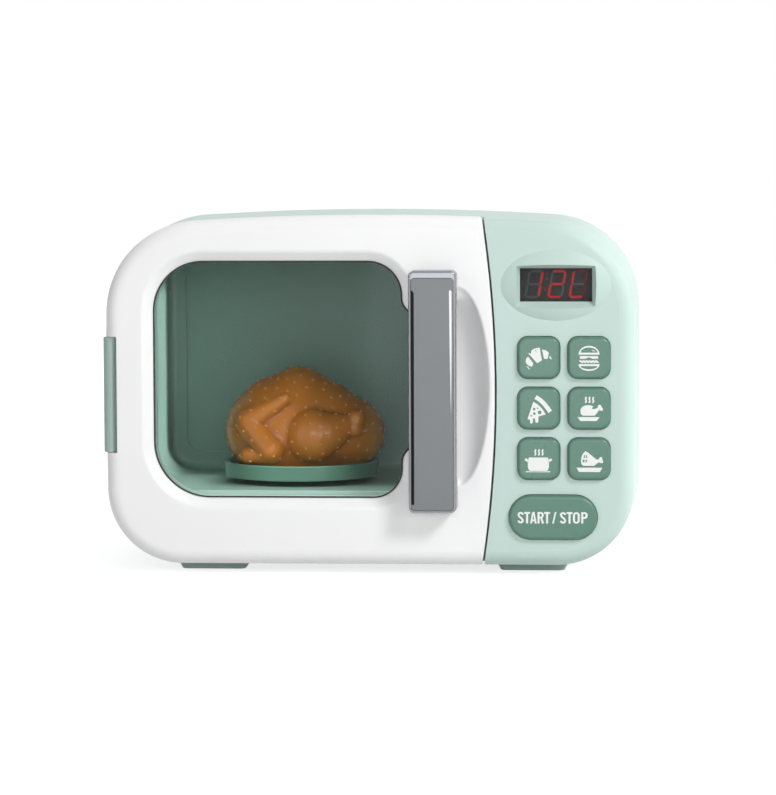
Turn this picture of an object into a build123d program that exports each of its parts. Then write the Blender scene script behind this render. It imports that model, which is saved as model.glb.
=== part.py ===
from build123d import *
import os
from math import acos, cos, pi, radians, sin, sqrt, tan

# A child's toy oven: a rounded mint casing with a white windowed door on the left, a control
# panel with a display and seven push buttons on the right, and a motor-driven turntable that
# carries a moulded roast chicken.
#
# Inside this file X runs to the right from the middle of the casing, Y runs back from its front
# face and Z runs up from its underside. All lengths are millimetres. write() moves each finished
# piece so that the origin lies under the middle of the whole object, at the bottom of the feet.
#
# SEAT_GAP lies between faces that rest on each other, LOOSE_GAP round what moves freely, and a
# form that cuts runs on past the faces it cuts by CUT.

# ---- Casing ----
CASING_WIDTH = 258.4
CASING_HEIGHT = 170.3
CASING_DEPTH = 141.0
PARTING_DEPTH = 80.0
CORNER_TOP = 45.0
CORNER_BOTTOM = 37.0
SIDE_BOW = 1.2
TOP_BOW = 6.0
SIDE_SWELL = 1.6
TOP_SWELL = 1.0
REAR_TAPER = 2.4
FRONT_FILLET = 7.0
REAR_FILLET = 9.0
WALL = 2.2
LIP_HEIGHT = 3.0
LIP_THICKNESS = 1.0
SEAT_GAP = 0.1
LOOSE_GAP = 0.3
CUT = 1.0

# ---- Feet ----
FOOT_HEIGHT = 4.9
FOOT_LENGTH = 36.5
FOOT_DEPTH = 15.0
FOOT_TAPER = 2.6
FOOT_SPACING = 158.0
FOOT_FRONT = 29.5
FOOT_BACK = 114.5
FOOT_SPIGOT = 3.0
FOOT_CORNER = 4.0
FOOT_LOW_CORNER = 3.0
FOOT_EDGE = 0.8

# ---- Seam between door and control panel: one shallow arc, bulging to the right ----
SEAM_MIDDLE = 62.7
SEAM_SAGITTA = 6.4
SEAM_GAP = 0.9
SEAM_DRAFT = 1.2

# ---- Door ----
DOOR_THICKNESS = 20.0
DOOR_GAP = 0.6
DOOR_EDGE = 1.2
DOOR_BACK_THICKNESS = 2.0
DOOR_SCREWS = ((-85.0, 14.0), (38.0, 12.0), (-85.0, 158.0), (38.0, 159.0))
DOOR_BOSS = 2.6
DOOR_SCREW_LENGTH = 8.0

# ---- Hinge, on the left edge of the door ----
HINGE_PROUD = 1.2
KNUCKLE_RADIUS = 3.4
KNUCKLE_LENGTH = 56.4
KNUCKLE_MIDDLE = 83.2
KNUCKLE_DEPTH = 5.5
PIN_RADIUS = 1.25
PIN_CLEARANCE = 0.06
PIN_ENGAGEMENT = 11.0
HINGE_LEAF = 3.0
HINGE_PLATE = 2.0
HINGE_PLATE_WIDTH = 8.4
HINGE_SCREW_SPACING = 34.0
HINGE_SCREW_LENGTH = 3.0
HINGE_BOSS = 1.8
HINGE_CORNER = 0.4
HINGE_PLATE_CORNER = 1.5
LUG_CORNER = 1.0
PIN_GRIP_GAP = 0.02

# ---- Window ----
WINDOW_LEFT = -105.6
WINDOW_RIGHT = 16.6
WINDOW_BOTTOM = 32.7
WINDOW_TOP = 148.7
WINDOW_LEFT_TOP = 24.4
WINDOW_LEFT_BOTTOM = 27.5
WINDOW_RIGHT_TOP = 16.8
WINDOW_RIGHT_BOTTOM = 14.5
BULGE_RIGHT = 24.0
BULGE_HEIGHT = 75.8
BULGE_MIDDLE = 90.5
BULGE_CORNER = 14.0
BULGE_BLEND = 8.0
BEVEL_WIDTH = 4.6
BEVEL_DEPTH = 4.0
BEVEL_ROUND = 3.0
BEVEL_BACKING = 8.0
PANE_THICKNESS = 2.0
PANE_LAP = 2.6
SEAL_WIDTH = 0.75
SEAL_LIP = 0.3
COLLAR_WALL = 1.8

# ---- Handle and the finger scoop beside it ----
HANDLE_MIDDLE = 32.1
HANDLE_WIDTH = 23.0
HANDLE_LENGTH = 117.3
HANDLE_LOW = 27.2
HANDLE_PROUD = 13.0
HANDLE_BAR = 7.0
HANDLE_FOOT = 15.0
HANDLE_ARCH = 5.0
HANDLE_CORNER = 2.6
HANDLE_EDGE = 1.2
FACING_MARGIN = 1.1
FACING_TOP_MARGIN = 3.4
FACING_THICKNESS = 1.4
FACING_PROUD = 0.3
FACING_CORNER = 1.8
HANDLE_SCREW_RADIUS = 1.3
HANDLE_SCREW_LENGTH = 7.0
HANDLE_SEAT = 5.0
FACING_EDGE = 0.4
SCOOP_LEFT = 31.0
SCOOP_X = 43.2
SCOOP_REACH = 15.4
SCOOP_HALF_HEIGHT = 48.0
SCOOP_MIDDLE = 87.5
SCOOP_DEPTH = 11.0
SCOOP_ROUND = 1.5

# ---- Door catch ----
CATCH_X = 46.0
CATCH_MIDDLE = 87.5
CATCH_HEIGHT = 12.0
CATCH_LENGTH = 6.0
CATCH_THICKNESS = 2.4
CATCH_CLEARANCE = 0.8
CATCH_NOSE = 0.95

# ---- Oven cavity ----
CAVITY_MIDDLE = -40.5
CAVITY_WIDTH = 148.0
CAVITY_FLOOR = 34.3
CAVITY_HEIGHT = 114.5
CAVITY_BACK = 130.0
CAVITY_CORNER = 14.0
CAVITY_WALL = 1.8
CAVITY_BACK_EDGE = 4.0
CAVITY_EAR = 3.0
CAVITY_EAR_REACH = 19.1
CAVITY_BOSS = 6.0
EAR_THICKNESS = 2.0
LINER_SCREW_LENGTH = 6.5
PANEL_MARGIN = 9.0
PANEL_CORNER = 8.0
PANEL_RECESS = 1.2
PANEL_BACKING = 2.0

# ---- Turntable, chicken and their drive ----
TURNTABLE_DEPTH = 76.0
PLATE_RADIUS = 39.6
PLATE_GAP = 2.9
PLATE_RIM_HEIGHT = 7.5
PLATE_RIM = 2.0
PLATE_WELL = 1.7
PLATE_WEB = 1.6
HUB_RADIUS = 5.0
KEY_RADIUS = 4.2
KEY_HEIGHT = 2.6
KEY_SIDES = 6
SOCKET_WALL = 2.0
HUB_HOLE_GAP = 1.2
PLATE_DRAFT = 0.8
PLATE_EDGE = 0.6
CHICKEN_X = -38.1
CHICKEN_LENGTH = 79.0
CHICKEN_HEIGHT = 48.5
CHICKEN_WIDTH = 60.0

# Body sections, as shares of half length, full height, half width and full height:
# place along the bird, height, width and height of the middle.
CHICKEN_SECTIONS = (
    (-0.99, 0.18, 0.20, 0.33),
    (-0.92, 0.51, 0.50, 0.315),
    (-0.72, 0.80, 0.78, 0.34),
    (-0.40, 1.01, 0.92, 0.405),
    (-0.05, 1.10, 0.96, 0.45),
    (0.31, 0.96, 0.90, 0.40),
    (0.62, 0.77, 0.72, 0.35),
    (0.88, 0.52, 0.46, 0.30),
    (0.99, 0.20, 0.18, 0.30),
)
# Limbs on each side, as shares of half length, half width and height: start, end and two radii
# as shares of the height.
CHICKEN_LIMBS = (
    ((0.16, 0.74, 0.33), (0.70, 0.60, 0.44), 0.26, 0.08),
    ((0.74, 0.60, 0.40), (0.76, 0.56, 0.48), 0.10, 0.09),
    ((-0.16, 0.84, 0.70), (-0.76, 0.74, 0.46), 0.07, 0.10),
    ((-0.77, 0.74, 0.45), (-0.24, 0.88, 0.20), 0.09, 0.12),
    ((-0.22, 0.87, 0.18), (-0.64, 0.84, 0.13), 0.11, 0.08),
)

GEAR_MODULE = 0.8
PRESSURE_ANGLE = radians(20)
ADDENDUM = 0.8
DEDENDUM = 1.1
BACKLASH = 0.2
PINION_TEETH = 14
WHEEL_TEETH = 42
OUTPUT_TEETH = 56
FLANK_STEPS = 3
GEAR_FACE = 3.0
GEAR_FACE_GAP = 0.8
GEAR_PIN_RADIUS = 1.5
RUNNING_CLEARANCE = 0.06
GEARBOX_LEFT = -67.5
GEARBOX_RIGHT = 26.9
GEARBOX_DEPTH = 54.0
GEARBOX_CORNER = 8.0
GEARBOX_WALL = 1.6
GEARBOX_SCREW_INSET = 6.0
GEARBOX_BOSS = 3.2
GEARBOX_SCREW_LENGTH = 20.0
PIN_BOSS = 3.4
PIN_FLOOR = 0.8
MOTOR_RADIUS = 10.0
MOTOR_FLAT = 7.7
MOTOR_LENGTH = 20.0
MOTOR_SHAFT = 1.0
MOTOR_SHAFT_REACH = 8.0
MOTOR_EDGE = 1.0
MOTOR_BUSH = 1.2
MOTOR_BUSH_RADIUS = 2.5
TERMINAL_THICKNESS = 0.5
TERMINAL_WIDTH = 2.0

# ---- Control panel ----
COLUMN_X = (83.1, 107.4)
ROW_Z = (101.9, 77.3, 52.7)
BUTTON_SIZE = 20.4
BUTTON_CORNER = 4.9
BUTTON_PROUD = 2.6
BUTTON_EDGE = 1.6
BUTTON_WALL = 1.6
BUTTON_CLEARANCE = 0.3
BUTTON_LIP = 1.2
BUTTON_LIP_THICKNESS = 1.2
BUTTON_STEM = 3.5
BUTTON_NAMES = (
    "button_croissant",
    "button_burger",
    "button_pizza",
    "button_roast",
    "button_soup",
    "button_ham",
)
START_X = 90.0
START_Z = 24.1
START_LENGTH = 42.9
START_HEIGHT = 21.8

OVAL_X = 91.4
OVAL_Z = 137.0
OVAL_WIDTH = 53.6
OVAL_HEIGHT = 34.6
OVAL_RISE = 4.0
OVAL_FLATNESS = 9.0
DISPLAY_WIDTH = 35.0
DISPLAY_HEIGHT = 16.2
WELL_SIDE = 2.9
WELL_TOP = 2.2
WELL_BOTTOM = 4.4
LENS_FRAME = 4.2
LENS_LAP = 1.2
LENS_DEPTH = 2.6
LENS_THICKNESS = 1.4
MODULE_THICKNESS = 6.0
DISPLAY_PINS = 6
DISPLAY_PIN_PITCH = 2.54
PIN_WIRE = 0.3

BOARD_LEFT = 66.0
BOARD_RIGHT = 121.5
BOARD_BOTTOM = 18.0
BOARD_TOP = 151.0
BOARD_CORNER = 16.0
CHIP_CORNER = 0.5
BOARD_THICKNESS = 1.6
BOARD_STANDOFF = 2.0
BOARD_SCREWS = ((69.5, 116.6), (119.0, 116.6), (69.5, 39.0), (117.5, 37.0))
BOARD_BOSS = 2.6
BOARD_SCREW_LENGTH = 6.0
BOARD_PARTS = ((14.0, 10.0, 2.2, 0.0, 64.0), (8.0, 4.0, 3.0, -12.0, 88.0), (5.0, 5.0, 4.5, 12.0, 84.0))
MEMBRANE_THICKNESS = 1.0
DOME_RADIUS = 3.2
DOME_HEIGHT = 2.4
DOME_FOOT = 1.0

# ---- Rear of the casing ----
SCREW_POSTS = ((-100.0, 10.8), (100.0, 10.8), (-70.0, 157.6), (100.0, 153.4))
POST_RADIUS = 4.5
SCREW_HEAD_RADIUS = 2.9
SCREW_HEAD_HEIGHT = 1.8
SCREW_WELL = 3.2
SCREW_RADIUS = 1.4
SCREW_LENGTH = 16.0
SCREW_THREAD_GAP = 0.05
SMALL_SCREW = 1.1
SMALL_HEAD_RADIUS = 2.1
SMALL_HEAD_HEIGHT = 1.3
POST_FLOOR = 5.0
VENT_COUNT = 7
VENT_PITCH = 7.0
VENT_LENGTH = 44.0
VENT_WIDTH = 2.6
VENT_X = -56.0
VENT_Z = 118.0
SPEAKER_X = 78.0
SPEAKER_Z = 112.0
SPEAKER_RADIUS = 20.0
SPEAKER_RIM = 3.0
SPEAKER_RING = 1.5
SPEAKER_DISH = 3.5
SPEAKER_DEPTH = 14.0
MAGNET_RADIUS = 10.0
SPEAKER_CAP_RADIUS = 5.0
BASKET_FOOT = 1.0
GRILLE_HOLE = 1.5
GRILLE_RINGS = 3
GRILLE_PITCH = 5.0

BATTERY_COUNT = 3
BATTERY_RADIUS = 7.1
BATTERY_LENGTH = 50.2
BATTERY_PITCH = 14.8
BATTERY_X = 75.0
BATTERY_Z = 50.0
TRAY_WALL = 1.6
TRAY_END_ROOM = 5.5
TRAY_LEDGE = 1.5
TRAY_LAP = 2.5
TRAY_BOSS = 5.0
TRAY_SCREW_LENGTH = 6.0
COVER_SCREW_LENGTH = 9.0
COVER_CLEARANCE = 0.4
COVER_TAB = 9.0
COVER_CORNER = 3.0
TRAY_CORNER = 2.0
TRAY_POST = 3.1
CELL_EDGE = 0.6
CELL_CAP_RADIUS = 2.7
CELL_CAP = 1.0
CONTACT_THICKNESS = 0.4
CONTACT_LIFT = 0.1
CONTACT_SIZE = 11.4
SPRING_WIDE = 4.0
SPRING_NARROW = 2.0
SPRING_GAP = 0.1

SWITCH_X = 49.4
SWITCH_Z = 84.0
SWITCH_TRAVEL = 4.0
SWITCH_KNOB = 4.4
SWITCH_SLOT = 3.6
SWITCH_BODY_WIDTH = 26.0
SWITCH_BODY_HEIGHT = 7.0
SWITCH_BODY_DEPTH = 5.5
SWITCH_POCKET = 3.0
SWITCH_BOSS = 2.2
SWITCH_EAR = 1.0
SWITCH_SCREW_LENGTH = 5.0
SWITCH_PROUD = 1.8
SWITCH_SLOT_CORNER = 1.0
SWITCH_SIDE = 0.8
SWITCH_PLAY = 0.6
RIDGE = 0.5

LAMP_RADIUS = 7.0
LAMP_DEPTH = 100.0
LAMP_Z = 118.0
LAMP_COVER = 1.5
LAMP_BULB = 2.5
LAMP_BULB_LENGTH = 6.0
LAMP_CUP_LENGTH = 9.0
LAMP_FLANGE = 0.6
LAMP_FLANGE_THICKNESS = 1.0
LEAD_RADIUS = 0.3
LEAD_LENGTH = 5.0

# ---- Places that follow from the sizes above ----
ORIGIN_SHIFT = (0.0, -(CASING_DEPTH + SWITCH_PROUD - HANDLE_PROUD) / 2, FOOT_HEIGHT)
SIDE_X = CASING_WIDTH / 2
SEAM_RADIUS = ((CASING_HEIGHT / 2) ** 2 + SEAM_SAGITTA**2) / (2 * SEAM_SAGITTA)
SEAM_CENTRE = (SEAM_MIDDLE - SEAM_RADIUS, CASING_HEIGHT / 2)
RECESS_FLOOR = DOOR_THICKNESS + DOOR_GAP
HINGE_X = -SIDE_X - HINGE_PROUD + KNUCKLE_RADIUS
CAVITY_LEFT = CAVITY_MIDDLE - CAVITY_WIDTH / 2
CAVITY_RIGHT = CAVITY_MIDDLE + CAVITY_WIDTH / 2
CAVITY_TOP = CAVITY_FLOOR + CAVITY_HEIGHT
CAVITY_FRONT = RECESS_FLOOR + WALL + SEAT_GAP
PLATE_BOTTOM = CAVITY_FLOOR + PLATE_GAP
PLATE_TOP = PLATE_BOTTOM + PLATE_RIM_HEIGHT
PLATE_FLOOR = PLATE_TOP - PLATE_WELL
HINGE_LEAF_RIGHT = HINGE_X + KNUCKLE_RADIUS
HINGE_LEAF_LEFT = HINGE_LEAF_RIGHT - HINGE_LEAF
HINGE_PLATE_LEFT = HINGE_LEAF_LEFT
BUTTON_BACK = WALL + LOOSE_GAP + BUTTON_LIP_THICKNESS
BOARD_DEPTH = LENS_DEPTH + LENS_THICKNESS + MODULE_THICKNESS + BOARD_STANDOFF
STEM_END = BOARD_DEPTH - SEAT_GAP - MEMBRANE_THICKNESS - DOME_HEIGHT - LOOSE_GAP
GEARBOX_LOW = WALL + LOOSE_GAP
WHEEL_LOW = GEARBOX_LOW + GEARBOX_WALL + GEAR_FACE_GAP
PINION_LOW = WHEEL_LOW - GEAR_FACE_GAP / 2
MOTOR_LOW = PINION_LOW + GEAR_FACE + 2 * GEAR_FACE_GAP + GEARBOX_WALL
OUTPUT_LOW = WHEEL_LOW + GEAR_FACE + 3 * GEAR_FACE_GAP
IDLER_TOP = OUTPUT_LOW + GEAR_FACE + GEAR_FACE_GAP
GEARBOX_LID = IDLER_TOP + GEAR_FACE_GAP / 2
GEARBOX_TOP = GEARBOX_LID + GEARBOX_WALL
OUTPUT_PIN_TOP = CAVITY_FLOOR - CAVITY_WALL


def at_depth(sketch, depth):
    """Stand a front-view sketch (X right, Z up) at a depth behind the front face."""
    return Plane.XZ.offset(-depth) * sketch


def slab(sketch, near, far):
    """Prism of a front-view sketch from one depth to another."""
    return extrude(at_depth(sketch, near), near - far)


def rod(x, z, radius, near, far):
    """Round bar that runs front to back."""
    return slab(Pos(x, z) * Circle(radius), near, far)


def column(sketch, low, high):
    """Prism of a plan-view sketch (X right, Y back) from one height to another."""
    return extrude(Plane.XY.offset(low) * sketch, high - low)


def upright(x, y, radius, low, high):
    """Round bar that stands up."""
    return column(Pos(x, y) * Circle(radius), low, high)


def rounded(left, right, low, high, radius):
    """Front-view rectangle with rounded corners, given by its edges."""
    frame = RectangleRounded(right - left, high - low, radius)
    return Pos((left + right) / 2, (low + high) / 2) * frame


def write(name, shape):
    export_step(Pos(*ORIGIN_SHIFT) * shape, os.path.join("parts", name + ".step"))


# ---------------------------------------------------------------- casing form

def casing_outline(side=0.0, top=0.0, inset=0.0):
    """Front view of the casing: level bottom, bowed sides and top, and four large corners."""
    half = SIDE_X - SIDE_BOW + side - inset
    high = CASING_HEIGHT - TOP_BOW + top - inset
    middle = high / 2
    bottom = Line((-half, inset), (half, inset))
    right = ThreePointArc((half, inset), (half + SIDE_BOW, middle), (half, high))
    crown = ThreePointArc((half, high), (0, high + TOP_BOW), (-half, high))
    left = ThreePointArc((-half, high), (-half - SIDE_BOW, middle), (-half, inset))
    outline = make_face(bottom + right + crown + left)
    outline = fillet(outline.vertices().sort_by(Axis.Y)[:2], CORNER_BOTTOM - inset)
    sharp = [v for v in outline.vertices() if v.Y > high - 1]
    return fillet(sharp, CORNER_TOP - inset)


def front_form(inset=0.0):
    """Outer form of the casing's front half and door, or its hollow when inset by the wall.

    The sides and top swell slightly towards the parting line, and the front edge is rounded.
    """
    near = casing_outline(inset=inset)
    far = casing_outline(SIDE_SWELL, TOP_SWELL, inset)
    form = loft([at_depth(near, inset), at_depth(far, PARTING_DEPTH)], ruled=True)
    front_edges = form.faces().sort_by(Axis.Y)[0].edges()
    return fillet(front_edges, FRONT_FILLET - inset)


def rear_form(inset=0.0):
    """Outer form of the casing's rear half, narrowing to the back, or its hollow."""
    near = casing_outline(SIDE_SWELL, TOP_SWELL, inset)
    far = casing_outline(-REAR_TAPER, -REAR_TAPER, inset)
    form = loft([at_depth(near, PARTING_DEPTH), at_depth(far, CASING_DEPTH - inset)], ruled=True)
    back_edges = form.faces().sort_by(Axis.Y)[-1].edges()
    return fillet(back_edges, REAR_FILLET - inset)


def seam_disc(radius_change, near, far, draft=0.0):
    """Everything left of the seam arc, as a huge disc whose rim may narrow towards the back."""
    front = at_depth(Pos(*SEAM_CENTRE) * Circle(SEAM_RADIUS + radius_change), near)
    back = at_depth(Pos(*SEAM_CENTRE) * Circle(SEAM_RADIUS + radius_change - draft), far)
    return loft([front, back], ruled=True)


def window_outline():
    """The clear opening: a rounded rectangle whose right side bulges behind the handle."""
    width, height = WINDOW_RIGHT - WINDOW_LEFT, WINDOW_TOP - WINDOW_BOTTOM
    middle = Pos((WINDOW_LEFT + WINDOW_RIGHT) / 2, (WINDOW_BOTTOM + WINDOW_TOP) / 2)
    main = middle * Rectangle(width, height)
    corners = main.vertices().sort_by(Axis.X)
    left, right = corners[:2].sort_by(Axis.Y), corners[2:].sort_by(Axis.Y)
    radii = (WINDOW_LEFT_BOTTOM, WINDOW_LEFT_TOP, WINDOW_RIGHT_BOTTOM, WINDOW_RIGHT_TOP)
    for corner, radius in zip((left[0], left[1], right[0], right[1]), radii):
        sharp = main.vertices().sort_by_distance(corner.center())[0]
        main = fillet(sharp, radius)
    low, high = BULGE_MIDDLE - BULGE_HEIGHT / 2, BULGE_MIDDLE + BULGE_HEIGHT / 2
    bulge = rounded(BULGE_RIGHT - 3 * BULGE_CORNER, BULGE_RIGHT, low, high, BULGE_CORNER)
    joined = main + bulge
    creases = [
        v
        for v in joined.vertices()
        if abs(v.X - WINDOW_RIGHT) < CUT and min(abs(v.Y - low), abs(v.Y - high)) < BULGE_CORNER / 4
    ]
    return fillet(creases, BULGE_BLEND)


def scoop_bowl(grow=0.0):
    """Finger scoop in the door's face: half an ellipsoid, with a trough that runs on to its left."""
    depth, half = SCOOP_DEPTH + grow, SCOOP_HALF_HEIGHT + grow
    bowl = scale(Sphere(1), by=(SCOOP_REACH + grow, depth, half))
    right = Box(2 * SCOOP_REACH, 4 * depth, 4 * half, align=(Align.MIN, Align.CENTER, Align.CENTER))
    length = SCOOP_X - SCOOP_LEFT + grow
    trough = extrude(Plane.YZ.offset(-length) * Ellipse(depth, half), length)
    return Pos(SCOOP_X, 0, SCOOP_MIDDLE) * ((bowl & right) + trough)


def door_half(inset=0.0, gap=SEAM_GAP):
    """The casing's front form left of the seam, as deep as the door."""
    near = inset
    form = front_form(inset) & slab(Rectangle(4 * CASING_WIDTH, 4 * CASING_WIDTH), near, DOOR_THICKNESS)
    return form & seam_disc(-gap - inset, 0, DOOR_THICKNESS, SEAM_DRAFT)


def cavity_outline(grow=0.0):
    return rounded(
        CAVITY_LEFT - grow,
        CAVITY_RIGHT + grow,
        CAVITY_FLOOR - grow,
        CAVITY_TOP + grow,
        CAVITY_CORNER + grow,
    )


def button_places():
    """Centres of the six food buttons, row by row from the top left."""
    return [(x, z) for z in ROW_Z for x in COLUMN_X]


def button_face(x, z, grow=0.0):
    size = BUTTON_SIZE + 2 * grow
    return Pos(x, z) * RectangleRounded(size, size, BUTTON_CORNER + grow)


def start_face(grow=0.0):
    return Pos(START_X, START_Z) * SlotOverall(START_LENGTH + 2 * grow, START_HEIGHT + 2 * grow)


def display_face(grow=0.0):
    return Pos(OVAL_X, OVAL_Z) * Rectangle(DISPLAY_WIDTH + 2 * grow, DISPLAY_HEIGHT + 2 * grow)


def board_outline():
    return rounded(BOARD_LEFT, BOARD_RIGHT, BOARD_BOTTOM, BOARD_TOP, BOARD_CORNER)


def ear_places():
    """Screw ears of the cavity liner, on the diagonals of its four rounded corners."""
    reach = CAVITY_EAR_REACH / sqrt(2)
    return [
        (x + side * (reach - CAVITY_CORNER), z + up * (reach - CAVITY_CORNER))
        for x, side in ((CAVITY_LEFT, -1), (CAVITY_RIGHT, 1))
        for z, up in ((CAVITY_FLOOR, -1), (CAVITY_TOP, 1))
    ]


def hinge_screw_places():
    x = HINGE_LEAF_RIGHT + HINGE_BOSS + 2 * LOOSE_GAP
    return [(x, KNUCKLE_MIDDLE + side * HINGE_SCREW_SPACING / 2) for side in (-1, 1)]


def foot_places():
    half = FOOT_SPACING / 2
    return [(x, y) for x in (-half, half) for y in (FOOT_FRONT, FOOT_BACK)]


def screw(radius, length, head_radius, head_height):
    """Pan-head screw that points up from its head, with a tapered tip and a cross recess."""
    head = fillet(Cylinder(head_radius, head_height).edges().sort_by(Axis.Z)[0], head_height / 2)
    shank = Pos(0, 0, head_height / 2 + length / 2 - radius / 2) * Cylinder(radius, length - radius)
    tip = Pos(0, 0, head_height / 2 + length - radius / 2) * Cone(radius, radius / 3, radius)
    arm = Box(head_radius * 1.2, head_radius / 3, head_height * 0.9)
    cross = arm + Rot(0, 0, 90) * arm
    return Pos(0, 0, head_height / 2) * (head + shank + tip - Pos(0, 0, -head_height / 2) * cross)


def screw_forward(x, z, seat, radius, length, head_radius, head_height):
    """Screw driven from behind towards the front, its head against a seat at one depth."""
    turned = Rot(90, 0, 0) * screw(radius, length, head_radius, head_height)
    return Pos(x, seat + head_height, z) * turned


# ---------------------------------------------------------------- casing

def post_outline(x, z, radius):
    """Screw post joined by a rib to the nearer of the casing's floor and roof."""
    wall_z = 0.0 if z < CASING_HEIGHT / 2 else CASING_HEIGHT + TOP_SWELL
    rib = Pos(x, (z + wall_z) / 2) * Rectangle(radius, abs(wall_z - z))
    return Pos(x, z) * Circle(radius) + rib


def front_casing():
    """Front half of the casing: door recess and cavity mouth at the left, panel at the right."""
    inner_floor = RECESS_FLOOR + WALL
    shell = front_form() - seam_disc(0, -WALL, RECESS_FLOOR)
    hollow = front_form(WALL) - seam_disc(WALL, 0, inner_floor)
    shell -= hollow
    groove = casing_outline(SIDE_SWELL, TOP_SWELL, WALL - LIP_THICKNESS - SEAT_GAP)
    shell -= slab(groove, PARTING_DEPTH - LIP_HEIGHT - SEAT_GAP, PARTING_DEPTH)

    posts = [post_outline(x, z, POST_RADIUS) for x, z in SCREW_POSTS]
    trimmed = front_form(WALL / 2)
    for outline in posts:
        shell += slab(outline, RECESS_FLOOR, PARTING_DEPTH - LIP_HEIGHT - LOOSE_GAP) & trimmed
    for x, z in SCREW_POSTS:
        shell -= rod(x, z, SCREW_RADIUS, PARTING_DEPTH - SCREW_LENGTH, PARTING_DEPTH)

    shell -= slab(cavity_outline(), RECESS_FLOOR - WALL, inner_floor + WALL)
    for x, z in ear_places():
        shell += rod(x, z, CAVITY_EAR, RECESS_FLOOR, inner_floor + CAVITY_BOSS)
        shell -= rod(x, z, SMALL_SCREW, inner_floor, inner_floor + CAVITY_BOSS)

    leaf_low = KNUCKLE_MIDDLE - KNUCKLE_LENGTH / 2 - LOOSE_GAP
    leaf_high = KNUCKLE_MIDDLE + KNUCKLE_LENGTH / 2 + LOOSE_GAP
    leaf_left, leaf_right = HINGE_LEAF_LEFT - SEAT_GAP, HINGE_LEAF_RIGHT + SEAT_GAP
    leaf = rounded(leaf_left, leaf_right, leaf_low, leaf_high, HINGE_CORNER + SEAT_GAP)
    shell -= slab(leaf, RECESS_FLOOR - WALL, inner_floor + SEAT_GAP)
    for x, z in hinge_screw_places():
        shell += rod(x, z, HINGE_BOSS, inner_floor - SEAT_GAP, inner_floor + HINGE_PLATE)
        shell -= rod(x, z, SMALL_SCREW, RECESS_FLOOR + CUT, inner_floor + HINGE_PLATE)

    shell -= slab(catch_face(CATCH_CLEARANCE), RECESS_FLOOR - WALL, inner_floor + WALL)
    shell += display_surround()
    shell -= display_well()
    for x, z in button_places():
        shell -= slab(button_face(x, z, BUTTON_CLEARANCE), -WALL, 2 * WALL)
    shell -= slab(start_face(BUTTON_CLEARANCE), -WALL, 2 * WALL)
    for x, z in BOARD_SCREWS:
        shell += rod(x, z, BOARD_BOSS, WALL - SEAT_GAP, BOARD_DEPTH)
        shell -= rod(x, z, SMALL_SCREW, BOARD_DEPTH - BOARD_SCREW_LENGTH, BOARD_DEPTH)
    for x, y in foot_places():
        if y < PARTING_DEPTH:
            shell -= upright(x, y, FOOT_SPIGOT + SEAT_GAP, -CUT, WALL + CUT)
    return shell


def catch_face(grow=0.0):
    """Front view of the catch, or of its slot, which is wider to the right for the door's swing."""
    width = CATCH_THICKNESS + 3 * grow
    height = CATCH_HEIGHT + 2 * grow
    return Pos(CATCH_X + grow / 2, CATCH_MIDDLE) * Rectangle(width, height)


def display_surround():
    """Low oval dome that stands from the panel, backed by the frame that holds the lens."""
    reach = sqrt(1 - ((OVAL_FLATNESS - OVAL_RISE) / OVAL_FLATNESS) ** 2)
    dome = scale(
        Sphere(1),
        by=(OVAL_WIDTH / 2 / reach, OVAL_FLATNESS, OVAL_HEIGHT / 2 / reach),
    )
    dome = Pos(OVAL_X, OVAL_FLATNESS - OVAL_RISE, OVAL_Z) * dome
    cap = dome & slab(Pos(OVAL_X, OVAL_Z) * Rectangle(OVAL_WIDTH, OVAL_HEIGHT), -OVAL_RISE, SEAT_GAP)
    frame = slab(display_face(LENS_FRAME), SEAT_GAP, LENS_DEPTH)
    return cap + frame


def display_well():
    """Rectangular well with sloping sides, from the dome's surface down to the lens."""
    width, height = DISPLAY_WIDTH + 2 * WELL_SIDE, DISPLAY_HEIGHT + WELL_TOP + WELL_BOTTOM
    mouth = Pos(OVAL_X, OVAL_Z + (WELL_TOP - WELL_BOTTOM) / 2) * Rectangle(width, height)
    top = at_depth(mouth, -OVAL_RISE)
    bottom = at_depth(display_face(), LENS_DEPTH)
    return loft([top, bottom], ruled=True)


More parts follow.
